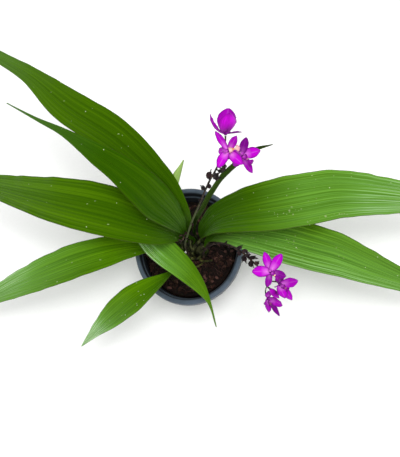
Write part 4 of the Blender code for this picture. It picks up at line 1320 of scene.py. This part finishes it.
@dataclass
class Foliage:
    """All the leaves, and the drops of water that stand on them."""

    stalk_half_width: float = 2.6  # half width of a leaf where it leaves its bulb
    stalk_fold: float = 62.0  # degrees that its sides are folded up there
    open_length: float = 110.0  # distance along which the fold opens out
    thickness: float = 0.7
    pleat_share: float = 0.026  # depth of its pleats as a share of its half width
    drop_size: tuple[float, float] = (0.3, 0.8)
    drop_clusters: tuple = (
        # leaf, first and last share along it, first and last share across it, drops
        ("leaf_upper_right", 0.36, 0.50, 0.15, 0.6, 10), ("leaf_upper_right", 0.30, 0.62, 0.02, 0.25, 8),
        ("leaf_lower_right", 0.20, 0.42, 0.35, 0.7, 22), ("leaf_lower_right", 0.40, 0.60, 0.2, 0.8, 8),
        ("leaf_upper_right", 0.38, 0.44, 0.64, 0.74, 14), ("leaf_upper_right", 0.44, 0.53, 0.88, 0.96, 14),
        ("leaf_front", 0.22, 0.55, 0.55, 0.92, 20), ("leaf_back_left", 0.35, 0.62, 0.1, 0.9, 7),
        ("leaf_left", 0.2, 0.65, 0.1, 0.9, 7), ("leaf_lower_left", 0.35, 0.7, 0.2, 0.8, 7),
        ("leaf_low_front", 0.35, 0.75, 0.2, 0.8, 9),
    )

    def leaf(self, plan: LeafPlan, number: int) -> Blade:
        """Makes one leaf.

        Args:
            plan: what the leaf is like.
            number: its own number, for its veins and its ruffle.

        Returns:
            The blade that it was shaped on.
        """
        seat_row = (plan.bulb, plan.azimuth, plan.ring, plan.route, self.stalk_half_width)
        rows, run = flow(rooted(*seat_row), plan.stations, 1.15)
        opened = np.array([ease(length / self.open_length) for length in run])
        folds = self.stalk_fold + (plan.fold - self.stalk_fold) * opened
        blade = Blade(
            plan.node + "_blade", rows, folds, UP, plan.faces_across, self.thickness,
            pleats=((4.0, 0.02), (2.0 * plan.half_waves, self.pleat_share)), groove=0.5,
            ruffle=0.9, ruffle_length=46.0, seed=number)
        along = run / run[-1]
        # The painted sheen's strength at each station, on the left and the right.
        stops = np.array(plan.film)
        film = np.column_stack([np.interp(along, stops[:, 0], stops[:, k]) for k in (1, 2)])
        young = plan.node == YOUNG_NODE
        skin = YOUNG_LEAF if young else LeafSkin(
            f"leaf_skin_{number}", plan.green, seed=3.7 * number, half_waves=2 * plan.half_waves,
            shade_until=plan.shade_until, shade_sides=plan.shade_sides, vein_share=plan.vein_share,
            shade=plan.shade)
        piece = blade.build(skin, LeafUnderside(f"leaf_underside_{number}", shade=plan.shade), film)
        hand_over(piece, Slot.YOUNG_LEAF if young else Slot.LEAF, plan.node, angle=80.0)
        return blade

    def drops(self, blades: dict[str, Blade]) -> None:
        """Stands drops of water on the leaves.

        Args:
            blades: each leaf's blade, by its node.
        """
        draw = np.random.default_rng(5)
        made = []
        for node, low, high, left, right, count in self.drop_clusters:
            for _ in range(count):
                place, outward = blades[node].spot(draw.uniform(low, high), draw.uniform(left, right))
                size = draw.uniform(*self.drop_size)
                radii = (size * draw.uniform(0.9, 2.2), size, size * 0.45)
                middle = place + outward * size * 0.12
                made.append(rounded("drop", middle, radii, ClearWater(), turned_to(outward), 8, 6))
        drops = joined("water_drops", made)
        only(drops)
        bpy.ops.object.shade_smooth()
        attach(drops, "root")
        log.info("%s: %d drops", drops.name, len(made))

    def build(self) -> None:
        """Makes the leaves and their drops."""
        blades = {plan.node: self.leaf(plan, number) for number, plan in enumerate(LEAVES)}
        self.drops(blades)


# ---------------- blooms


@dataclass(frozen=True)
class BloomPlan:
    """One bloom: its place, and how its parts stand.

    The face points out of the flower and the lip towards its lip. The tepals are the top sepal, two
    petals and two side sepals, as (turn, rise, curl, length, half width): the turn is about the
    face, with the lip at 270, the rise is from flat, and the curl bends the tip inwards, in degrees.
    """

    node: str
    centre: Row
    face: Row
    lip: Row
    tepals: tuple[Row, ...]
    cup: float = 18.0  # degrees that the sides of its tepals are folded up
    shut: float = 0.0  # from 0, the lip spread, to 1, the lip folded up inside a closed flower
    tepal_shades: Row = (0, 0, 0, 0, 0)  # how much painted shade each tepal carries, from 0 to 1
    lip_skin: PetalSkin = LIP
    callus_skin: Tissue = SHADED_CALLUS

    def axes(self) -> Matrix:
        """Returns the matrix from the bloom's own axes (right, top, face) to the plant's."""
        face = Vector(self.face).normalized()
        top = -Vector(self.lip)
        top = (top - face * top.dot(face)).normalized()
        turn = Matrix((top.cross(face), top, face)).transposed()
        return Matrix.Translation(self.centre) @ turn.to_4x4()


BLOOMS = (
    BloomPlan("bloom_back_open", (75, 31, 388), (-0.10, -0.30, 0.95), (1, 0.15, 0.1), (
        (80, -52, 0, 17, 4.2), (140, 18, -24, 18.5, 5.0), (18, 22, 22, 22, 3.3), (217, 12, -30, 19, 5.2),
        (313, 26, 10, 17, 3.9)), 20, 0.0, (0, 0, 0.25, 0, 0.35), PALE_LIP, CALLUS_SKIN),
    BloomPlan("bloom_back_top", (72.6, 49.8, 386), (0.05, 0.88, 0.46), (-0.73, -0.28, 0.62), (
        (50, 62, 40, 19, 6.0), (342, 62, 80, 24, 10.4), (130, 60, 30, 25.5, 10.4),
        (198, 48, 80, 26.5, 3.1), (82, 2, 0, 17, 2.6)), 44, 1.0, (0.6, 0.0, 0.45, 0.5, 0.9)),
    BloomPlan("bloom_back_right", (86.3, 32.2, 370), (0.25, -0.20, 0.94), (0.74, -0.67, 0.1), (
        (98, -58, 0, 16, 4.4), (31, 32, 20, 18.5, 4.4), (195, -52, 0, 16, 4.4), (325, 26, -14, 18.5, 5.6),
        (260, -20, -16, 20.5, 3.6)), 20, 0.0, (0, 0.95, 0.2, 0, 0.5)),
    BloomPlan("bloom_front_open", (108, -62.3, 260), (0.06, -0.08, 0.99), (0.64, -0.77, 0), (
        (67, 16, -16, 21, 4.6), (16, 14, -16, 22, 5.4), (141, 12, -16, 19.5, 6.2), (217, -32, -16, 17, 3.8),
        (304, -20, -10, 17, 4.4)), 16, 0.0, (0.1, 0.1, 0, 0.7, 0.9), LIP, CALLUS_SKIN),
    BloomPlan("bloom_front_right", (117.2, -72.3, 239), (0.45, -0.45, 0.77), (0.7, -0.5, -0.5), (
        (47, 22, 20, 12, 4.6), (323, 24, 8, 19, 6.0), (225, -62, 10, 12, 4.4), (222, 50, 20, 17, 6.4),
        (256, 10, 8, 22.5, 4.4)), 22, 0.6, (0.9, 0.4, 0.5, 0.0, 0.3)),
    BloomPlan("bloom_front_low", (103.3, -83.9, 214), (0.30, -0.55, 0.55), (-0.3, -0.6, -0.6), (
        (110, 14, 20, 10, 4.0), (9, 58, 26, 18.5, 5.4), (285, -30, 20, 15, 4.4), (311, 38, 10, 22.5, 2.9),
        (252, 64, 24, 17.5, 4.6)), 22, 1.0, (0.4, 0.2, 0.4, 1.0, 0.2)),
)


@dataclass
class Bloom:
    """One open flower: five tepals round a column, a lip and its callus."""

    plan: BloomPlan
    column_route: tuple[Row, ...] = (
        (0, 0.3, 0.6, 1.5), (0, 1.6, 3.6, 1.25), (0, 1.9, 6.2, 1.35), (0, 0.8, 8.4, 1.9))
    blunt_from: float = 0.62  # share of a tepal's length at which its tip begins
    callus_r: float = 0.75
    thickness: float = 0.6
    stations: int = 30

    def route(self, rows: Iterable[Row], stations: int) -> np.ndarray:
        """Finds points along a route.

        Args:
            rows: rows that start with x, y and z in the bloom's own axes.
            stations: how many points to find.

        Returns:
            The points' rows, in the plant's axes.
        """
        axes = self.plan.axes()
        return flow([(*(axes @ Vector(row[:3])), *row[3:]) for row in rows], stations)[0]

    def tepal(self, k: int) -> Piece:
        """Makes one sepal or petal.

        Args:
            k: its number in the plan.

        Returns:
            The sepal or petal.
        """
        plan = self.plan
        turn, rise, curl, length, half_width = plan.tepals[k]
        # The two petals start nearer the column than the sepals, in front of them, and have blunter tips.
        reach, height, rounding = (0.6, 0.5, 0.38) if k in (1, 2) else (1.5, -0.9, 0.56)
        turn, axes = math.radians(turn), plan.axes()
        shares = 1.0 - (1.0 - np.linspace(0.0, 1.0, self.stations)) ** 1.35
        rows, last = [], 0.0
        for share in shares:
            lean = math.radians(rise + curl * ((share + last) / 2.0 - 0.5))
            reach += length * (share - last) * math.cos(lean)
            height += length * (share - last) * math.sin(lean)
            last = share
            width = half_width * (0.30 + 0.70 * math.sin(math.pi * (share * 0.86 + 0.06)) ** 0.9)
            past = max(0.0, (share - self.blunt_from) / (1.0 - self.blunt_from))
            width *= max(0.0, 1.0 - past**2) ** rounding
            place = axes @ Vector((*polar(reach, turn), height))
            rows.append((*place, max(width, 0.12)))
        blade = Blade(
            "tepal", np.array(rows), np.full(len(rows), plan.cup), Vector(plan.face), 20, self.thickness,
            pleats=((5.0, 0.018),), groove=0.22, ruffle=0.35, ruffle_length=9.0, full_fold=0.8,
            seed=31 * k + int(plan.centre[0]))
        tepal = blade.build(PETAL, PETAL_BACK_SHADED)
        # Painted shade over the whole tepal.
        paint(tepal, "depth", plan.tepal_shades[k])
        return tepal

    def column(self) -> list[Piece]:
        """Makes the flower's core and the column with its cap.

        Returns:
            The core, the column and the cap.
        """
        plan = self.plan
        rows = self.route(self.column_route, 16)
        ahead = Vector(rows[-1, :3] - rows[-4, :3]).normalized()
        core = rounded("core", Vector(plan.centre), (CORE_R,) * 3, PETAL_BACK_SHADED, around=20, rings=12)
        # Painted shade on the core, deep inside the flower.
        paint(core, "depth", 0.85)
        stem = tube("column", rows, COLUMN_SKIN, 14)
        cap = rounded("cap", Vector(rows[-1, :3]) - ahead * 0.2, (1.45, 1.3, 0.8), COLUMN_SKIN,
                      turned_to(ahead), 18, 10)
        return [core, stem, cap]

    def lip_rows(self) -> list[Row]:
        """Returns the lip's route in the bloom's own axes: x, y, z, half width and fold."""
        shut, clear = self.plan.shut, CORE_R + self.thickness / 2.0 + 1.3 * GAP
        start = Vector((0.0, -0.6 + 0.15 * shut, 0.8 + 0.1 * shut)) * clear
        spread = ((-2.9, 3.2, 3.6, 66), (-4.5, 4.5, 3.3, 60), (-6.6, 5.9, 1.0, 16), (-9.0, 7.0, 1.2, 8),
                  (-11.6, 7.4, 3.2, 6), (-13.2, 7.0, 0.4, 6))
        folded = ((-2.6, 3.7, 2.3, 58), (-3.1, 5.4, 2.1, 54), (-3.4, 7.2, 1.0, 16), (-3.6, 8.8, 1.2, 8),
                  (-3.5, 10.2, 2.3, 8), (-3.1, 11.4, 0.4, 8))
        rows: list[Row] = [(0.0, start.y, start.z, 1.3 - 0.5 * shut, 24)]
        for flat, closed in zip(spread, folded):
            rows.append((0.0, *(a + (b - a) * shut for a, b in zip(flat, closed))))
        return rows

    def lip(self) -> Piece:
        """Makes the lip: two side lobes that stand by the column, and a claw that flares at its end.

        Returns:
            The lip.
        """
        rows = self.route(self.lip_rows(), 36)
        blade = Blade("lip", rows[:, :4], rows[:, 4], Vector(self.plan.face), 18, self.thickness,
                      groove=0.15, ruffle=0.45, ruffle_length=4.5, full_fold=0.8,
                      seed=int(self.plan.centre[0]))
        return blade.build(self.plan.lip_skin)

    def callus(self) -> Piece:
        """Makes the two-lobed waxy swelling on the lip's claw.

        Returns:
            The swelling.
        """
        axes = self.plan.axes()
        inner, outer = (Vector(row[:3]) for row in self.lip_rows()[3:5])
        along = (outer - inner).normalized()
        lifted = Vector((0.0, along.z, -along.y))
        middle = inner + along * 0.6 + lifted * (self.thickness / 2.0 + 1.5 * GAP + self.callus_r)
        bumps = []
        for side in (-1.0, 1.0):
            centre = axes @ (middle + Vector((side * 0.7 * self.callus_r, 0, 0)))
            bump = rounded("bump", centre, (self.callus_r,) * 3, self.plan.callus_skin, None, 16, 10)
            roughen(bump, 0.12, 0.8)
            bumps.append(bump)
        return joined(self.plan.node + "_swelling", bumps)

    def build(self) -> None:
        """Makes the bloom's three pieces."""
        node = self.plan.node
        tepals = [self.tepal(k) for k in range(len(self.plan.tepals))]
        petals = joined(node + "_petals", self.column() + tepals)
        hand_over(petals, Slot.PETAL, node + "_tepals", angle=70.0)
        lip = self.lip()
        lip.name = node + "_labellum"
        hand_over(lip, Slot.LIP, node + "_lip", angle=70.0)
        hand_over(self.callus(), Slot.CALLUS, node + "_callus")


@dataclass
class Bud:
    """The closed bud at the front: overlapping tepals round a pointed core."""

    node: str = "bud_front"
    route: tuple[Row, ...] = (
        (105.5, -76, 233.5, 1.0), (108, -78.4, 232, 3.0), (110.5, -81, 230.5, 3.9),
        (113, -83.6, 229, 3.0), (115.5, -86, 227.5, 0.5))
    slimness: float = 0.94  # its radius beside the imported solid's
    folds: float = 3.0  # overlapping edges round it
    fold_depth: float = 0.07  # share of its radius
    twist: float = 60.0  # radians per metre by which the edges wind round it

    def build(self) -> None:
        """Makes the bud."""
        rows, _ = flow(self.route, 24)
        rows[:, 3] *= self.slimness
        bud = tube("closed_bud", rows, PETAL_BACK_SHADED, 24)
        axis = (Vector(self.route[-1][:3]) - Vector(self.route[0][:3])).normalized()
        side = axis.orthogonal().normalized()
        points = points_of(bud)
        foot = np.array(self.route[0][:3]) * MM
        along = (points - foot) @ np.array(axis)
        radial = points - foot - along[:, None] * np.array(axis)
        other = np.array(axis.cross(side))
        turn = np.arctan2(radial @ other, radial @ np.array(side))
        folds = np.abs(np.sin(self.folds / 2.0 * turn + self.twist * along))
        overlap = 1.0 + self.fold_depth * folds - 0.05
        move_points(bud, foot + along[:, None] * np.array(axis) + radial * overlap[:, None])
        hand_over(bud, Slot.PETAL, self.node)


# ---------------- flower stalks


@dataclass(frozen=True)
class StalkPlan:
    """One flower stalk, with what it carries.

    Shares are of the stalk's length. Each withered flower is a share, a turn round the stalk, with
    0 at its left and 90 on top, a reach and a size. The bracts are a first and last share and a number.
    """

    node: str
    bulb: str
    azimuth: float
    ring: float
    radius: float
    route: tuple[Row, ...]
    stems: tuple[tuple[str, float], ...]
    withered: tuple[Row, ...]
    bracts: tuple[float, float, int]
    green_below: float = 0.0  # height under which it is still green, in millimetres


# A curled scrap of dry sepal: how far out, how far up and half how wide, from foot to tip.
SCRAP_ROUTE = ((1.2, 0.0, 0.9), (2.2, 1.8, 1.0), (2.0, 3.8, 0.7), (2.9, 4.8, 0.1))

STALKS = (
    StalkPlan("scape_back", "main", 290, 7.0, 1.3, (
        (0, -8, 150), (8.5, -1, 190), (20, 6.5, 230), (31.5, 12.5, 265), (41, 18, 295), (49, 23, 318),
        (57, 27, 338), (62.5, 31, 351), (67, 35, 362), (70, 41, 373)),
        (("bloom_back_open", 0.955), ("bloom_back_top", 0.985), ("bloom_back_right", 0.90)),
        ((0.70, 20, 4, 1.0), (0.745, 170, 4, 1.0), (0.79, 8, 5, 1.35), (0.82, 195, 7, 1.2),
         (0.85, 150, 9, 1.2), (0.87, 190, 8, 1.1), (0.89, 180, 11, 1.0), (0.915, 165, 11, 1.0)),
        (0.28, 0.62, 4), 285.0),
    StalkPlan("scape_front", "right", 290, 6.5, 1.3, (
        (20, -13, 132), (30, -9, 158), (43, -11, 180), (60, -20, 205), (76, -33, 222), (87, -45, 233),
        (98, -57, 239), (106, -68, 238)),
        (("bloom_front_open", 0.90), ("bloom_front_right", 0.98), ("bloom_front_low", 0.94),
         ("bud_front", 0.96)),
        ((0.66, 20, 4, 1.0), (0.69, 165, 4, 1.1), (0.72, 30, 4, 1.2), (0.745, 190, 5, 1.2),
         (0.77, 80, 4, 1.15), (0.80, 10, 4, 1.2), (0.825, 170, 5, 1.2), (0.86, 60, 4, 1.0)),
        (0.18, 0.64, 8)),
)


@dataclass
class FlowerStalk:
    """A flower stalk with its bracts, withered flowers and the short stems of its blooms."""

    plan: StalkPlan
    taper: float = 0.28  # share of its radius that it loses up to its tip
    swelling: float = 0.28  # how much thicker it is at a node
    node_length: float = 0.008  # share of its length
    green_from: float = 140.0  # height at which the green starts
    green_fade: float = 50.0  # height over which it ends
    line: list[Row] = field(init=False)  # the stalk's route from its seat
    fine: np.ndarray = field(init=False)  # points close together along it

    def __post_init__(self) -> None:
        """Works out the stalk's line."""
        plan = self.plan
        self.line = rooted(plan.bulb, plan.azimuth, plan.ring, plan.route)
        self.fine, _ = flow(self.line, 201)

    def at_share(self, share: float) -> tuple[Vector, Vector]:
        """Returns a point on the stalk, and the stalk's direction there."""
        last = len(self.fine) - 1
        k = min(int(share * last), last - 2)
        return Vector(self.fine[k]), Vector(self.fine[k + 1] - self.fine[k]).normalized()

    @staticmethod
    def sideways(ahead: Vector, azimuth: float) -> Vector:
        """Returns a direction square to a stalk, turned round it by an azimuth in degrees."""
        level = UP.cross(ahead)
        level = level.normalized() if level.length > 0.01 else Vector((1, 0, 0))
        return Quaternion(ahead, math.radians(azimuth)) @ level

    def stalk(self) -> Piece:
        """Makes the stalk itself, slightly swollen at its nodes.

        Returns:
            The stalk.
        """
        plan = self.plan
        rows, run = flow(self.line, 90)
        share = run / run[-1]
        radius = plan.radius * (1.0 - self.taper * share)
        for node in np.linspace(plan.bracts[0], plan.bracts[1], plan.bracts[2]):
            radius = radius * (1.0 + self.swelling * np.exp(-((share - node) / self.node_length) ** 2))
        stalk = tube("stalk", np.column_stack([rows[:, :3], radius]), DRY_STALK, 12)
        roughen(stalk, 0.12, 2.0)
        heights = points_of(stalk)[:, 2] / MM
        paint(stalk, "fresh", [
            ease((plan.green_below - z) / self.green_fade) * ease((z - self.green_from) / 40.0)
            for z in heights])
        return stalk

    def withered_flower(self, at: Vector, away: Vector, ahead: Vector, length: float, size: float,
                        number: int) -> list[Piece]:
        """Makes a dry flower: a short bent stem, a shrivelled end and two curled scraps of sepal.

        Args:
            at: where it stands on the stalk.
            away: its way out of the stalk.
            ahead: the way that the stalk runs.
            length: how far it reaches from the stalk.
            size: its size beside the common one.
            number: its own number, for its ridges and its turn.

        Returns:
            The stem, the end and the scraps.
        """
        bend = at + away * length * 0.6 + ahead * length * 0.3
        heading = (away * 0.5 + ahead).normalized()

        def shrivelled(points: np.ndarray) -> np.ndarray:
            """Puts winding ridges on a ball and narrows its upper half."""
            height = points[:, 2]
            angle = np.arctan2(points[:, 1], points[:, 0]) + 1.4 * height + number
            ridges = 1.0 + 0.16 * np.cos(5.0 * angle) + 0.08 * np.sin(3.0 * angle + number)
            taper = np.where(height > 0.0, 1.0 - 0.35 * height**2, 1.0)
            return points * np.column_stack([ridges * taper, ridges * taper, np.ones_like(height)])

        stem_rows, _ = flow([(*at, 1.0), (*at.lerp(bend, 0.6), 0.8), (*bend, 1.1)], 6)
        stem = tube("dry_stem", stem_rows, WITHERED, 8)
        middle = bend + heading * 1.5
        radii = (2.3 * size, 1.8 * size, 3.7 * size)
        head = rounded("dry_head", middle, radii, WITHERED, turned_to(heading), 20, 14, shrivelled)
        roughen(head, 0.5, 2.2)
        scraps = []
        for k in range(2):
            out = self.sideways(heading, 120.0 * k + 57.0 * number)
            route = [(*(middle + (out * side + heading * up) * size), wide) for side, up, wide in SCRAP_ROUTE]
            rows, _ = flow(route, 12)
            blade = Blade("scrap", rows, np.full(12, 38.0), -out, 6, 0.4, ruffle=0.4, ruffle_length=3.0,
                          full_fold=1.0, seed=number + k)
            scraps.append(blade.build(WITHERED))
        return [stem, head, *scraps]

    def bract(self, at: Vector, away: Vector, ahead: Vector, number: int) -> Piece:
        """Makes a small dry bract that clasps the stalk and stands up and out from it.

        Args:
            at: where it stands on the stalk.
            away: its way out of the stalk.
            ahead: the way that the stalk runs.
            number: its own number, for its ruffle.

        Returns:
            The bract.
        """
        radius = self.plan.radius
        route = [(*(at + away * radius * 0.5), 1.2), (*(at + away * radius * 1.3 + ahead * 1.6), 1.3),
                 (*(at + away * 3.0 + ahead * 2.6), 0.8), (*(at + away * 4.4 + ahead * 3.2), 0.1)]
        rows, _ = flow(route, 14)
        blade = Blade("bract", rows, np.full(14, 40.0), -away, 8, 0.5, ruffle=0.25, ruffle_length=3.0,
                      full_fold=1.0, seed=number)
        return blade.build(WITHERED)

    def stem_end(self, name: str) -> tuple[Vector, Vector]:
        """Finds where a bloom's own stem ends.

        Args:
            name: the bloom's or the bud's node.

        Returns:
            A point just off its back, and the way that it faces.
        """
        if name == Bud.node:
            foot, ahead = Vector(Bud.route[0][:3]), Vector(Bud.route[1][:3])
            face = (ahead - foot).normalized()
            return foot - face * 1.2 * GAP, face
        plan = next(plan for plan in BLOOMS if plan.node == name)
        face = Vector(plan.face).normalized()
        return Vector(plan.centre) - face * (CORE_R + GAP), face

    def stem(self, name: str, share: float) -> Piece:
        """Makes a bloom's own stem, which swells into the ovary behind the flower.

        Args:
            name: the bloom's or the bud's node.
            share: where the stem leaves the stalk.

        Returns:
            The stem.
        """
        back, face = self.stem_end(name)
        point, ahead = self.at_share(share)
        route = [(*point, 0.9), (*(point + ahead * 3.0), 0.85), (*(back - face * 5.0), 0.85), (*back, 1.0)]
        rows, _ = flow(route, 22)
        return tube("bloom_stem", rows, BLOOM_STEM, 12)

    def build(self) -> None:
        """Makes the stalk."""
        plan = self.plan
        pieces = [self.stalk()]
        for k, (share, turn, length, size) in enumerate(plan.withered):
            point, ahead = self.at_share(share)
            pieces += self.withered_flower(point, self.sideways(ahead, turn), ahead, length, size, k)
        first, last, count = plan.bracts
        for k in range(count):
            point, ahead = self.at_share(first + (last - first) * k / (count - 1))
            pieces.append(self.bract(point, self.sideways(ahead, 40 + GOLDEN_ANGLE * k), ahead, k))
        pieces += [self.stem(name, share) for name, share in plan.stems]
        hand_over(joined(plan.node + "_stalk", pieces), Slot.STALK, plan.node)


# ---------------- studio


@dataclass
class Studio:
    """White paper on the floor, a soft key light near the camera, a bright horizon and the camera."""

    camera_at: Row = (143.24, -233.36, 1139.00)
    right: Row = (0.99208, 0.0, -0.12560)
    up: Row = (0.03039, 0.97030, 0.24001)
    back: Row = (0.12187, -0.24192, 0.96261)
    lens: float = 65.6455
    sensor: float = 36.0
    floor_size: float = 12.0  # metres
    key_at: Row = (430.0, -220.0, 3000.0)
    key_size: float = 1.1  # metres
    key_power: float = 64.0
    sky: float = 0.6  # brightness overhead
    horizon: float = 0.85

    def floor(self) -> None:
        """Lays the paper."""
        bpy.ops.mesh.primitive_plane_add(size=self.floor_size, location=(0, 0, -0.0004))
        paper = bpy.context.object
        paper.name = "paper"
        dress(paper, StudioPaper())
        paper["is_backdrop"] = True

    def world(self) -> None:
        """Makes a world that is dimmer overhead than at the horizon."""
        world = bpy.data.worlds.new("soft_room")
        bpy.context.scene.world = world
        world.use_nodes = True
        tree = world.node_tree
        split = add_node(tree, "SeparateXYZ", add_node(tree, "TexCoord").outputs["Generated"])
        level = add_node(tree, "MapRange", split.outputs["Z"], 0.15, 0.85, self.horizon, self.sky)
        light = tree.nodes["Background"].inputs
        light["Color"].default_value = linear("FFFFFF")
        tree.links.new(output(level), light["Strength"])

    def key(self) -> None:
        """Hangs the key light, which lights without a reflection of its own."""
        lamp = bpy.data.lights.new("key", "AREA")
        lamp.shape, lamp.size, lamp.energy = "DISK", self.key_size, self.key_power
        hung = placed("key", lamp)
        hung.location = Vector(self.key_at) * MM
        hung.rotation_mode = "QUATERNION"
        hung.rotation_quaternion = (-Vector(self.key_at)).to_track_quat("-Z", "Y")
        hung.visible_glossy = hung.visible_camera = False

    def camera(self) -> None:
        """Places the camera nearly straight above the plant."""
        lens = bpy.data.cameras.new("camera")
        lens.lens, lens.sensor_width, lens.sensor_fit = self.lens, self.sensor, "AUTO"
        lens.clip_start, lens.clip_end = 0.05, 50.0
        eye = placed("camera", lens)
        axes = Matrix((self.right, self.up, self.back)).transposed().to_4x4()
        eye.matrix_world = Matrix.Translation(Vector(self.camera_at) * MM) @ axes
        bpy.context.scene.camera = eye

    def build(self) -> None:
        """Sets the studio up."""
        self.floor()
        self.world()
        self.key()
        self.camera()
        bpy.context.scene.view_settings.view_transform = "Standard"
        log.info("studio ready")


def main() -> None:
    """Builds every piece and the studio, and works out the bounds of the imported solids and of the scene."""
    logging.basicConfig(level=logging.INFO, format="%(name)s: %(message)s")
    Studio().build()
    NurseryPot().build()
    PottingMix().build()
    Crown().build()
    Foliage().build()
    for plan in STALKS:
        FlowerStalk(plan).build()
    for plan in BLOOMS:
        Bloom(plan).build()
    Bud().build()
    [[list(corner) for corner in box] for box in (CAD_BOX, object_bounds())]


if __name__ == "__main__":
    main()
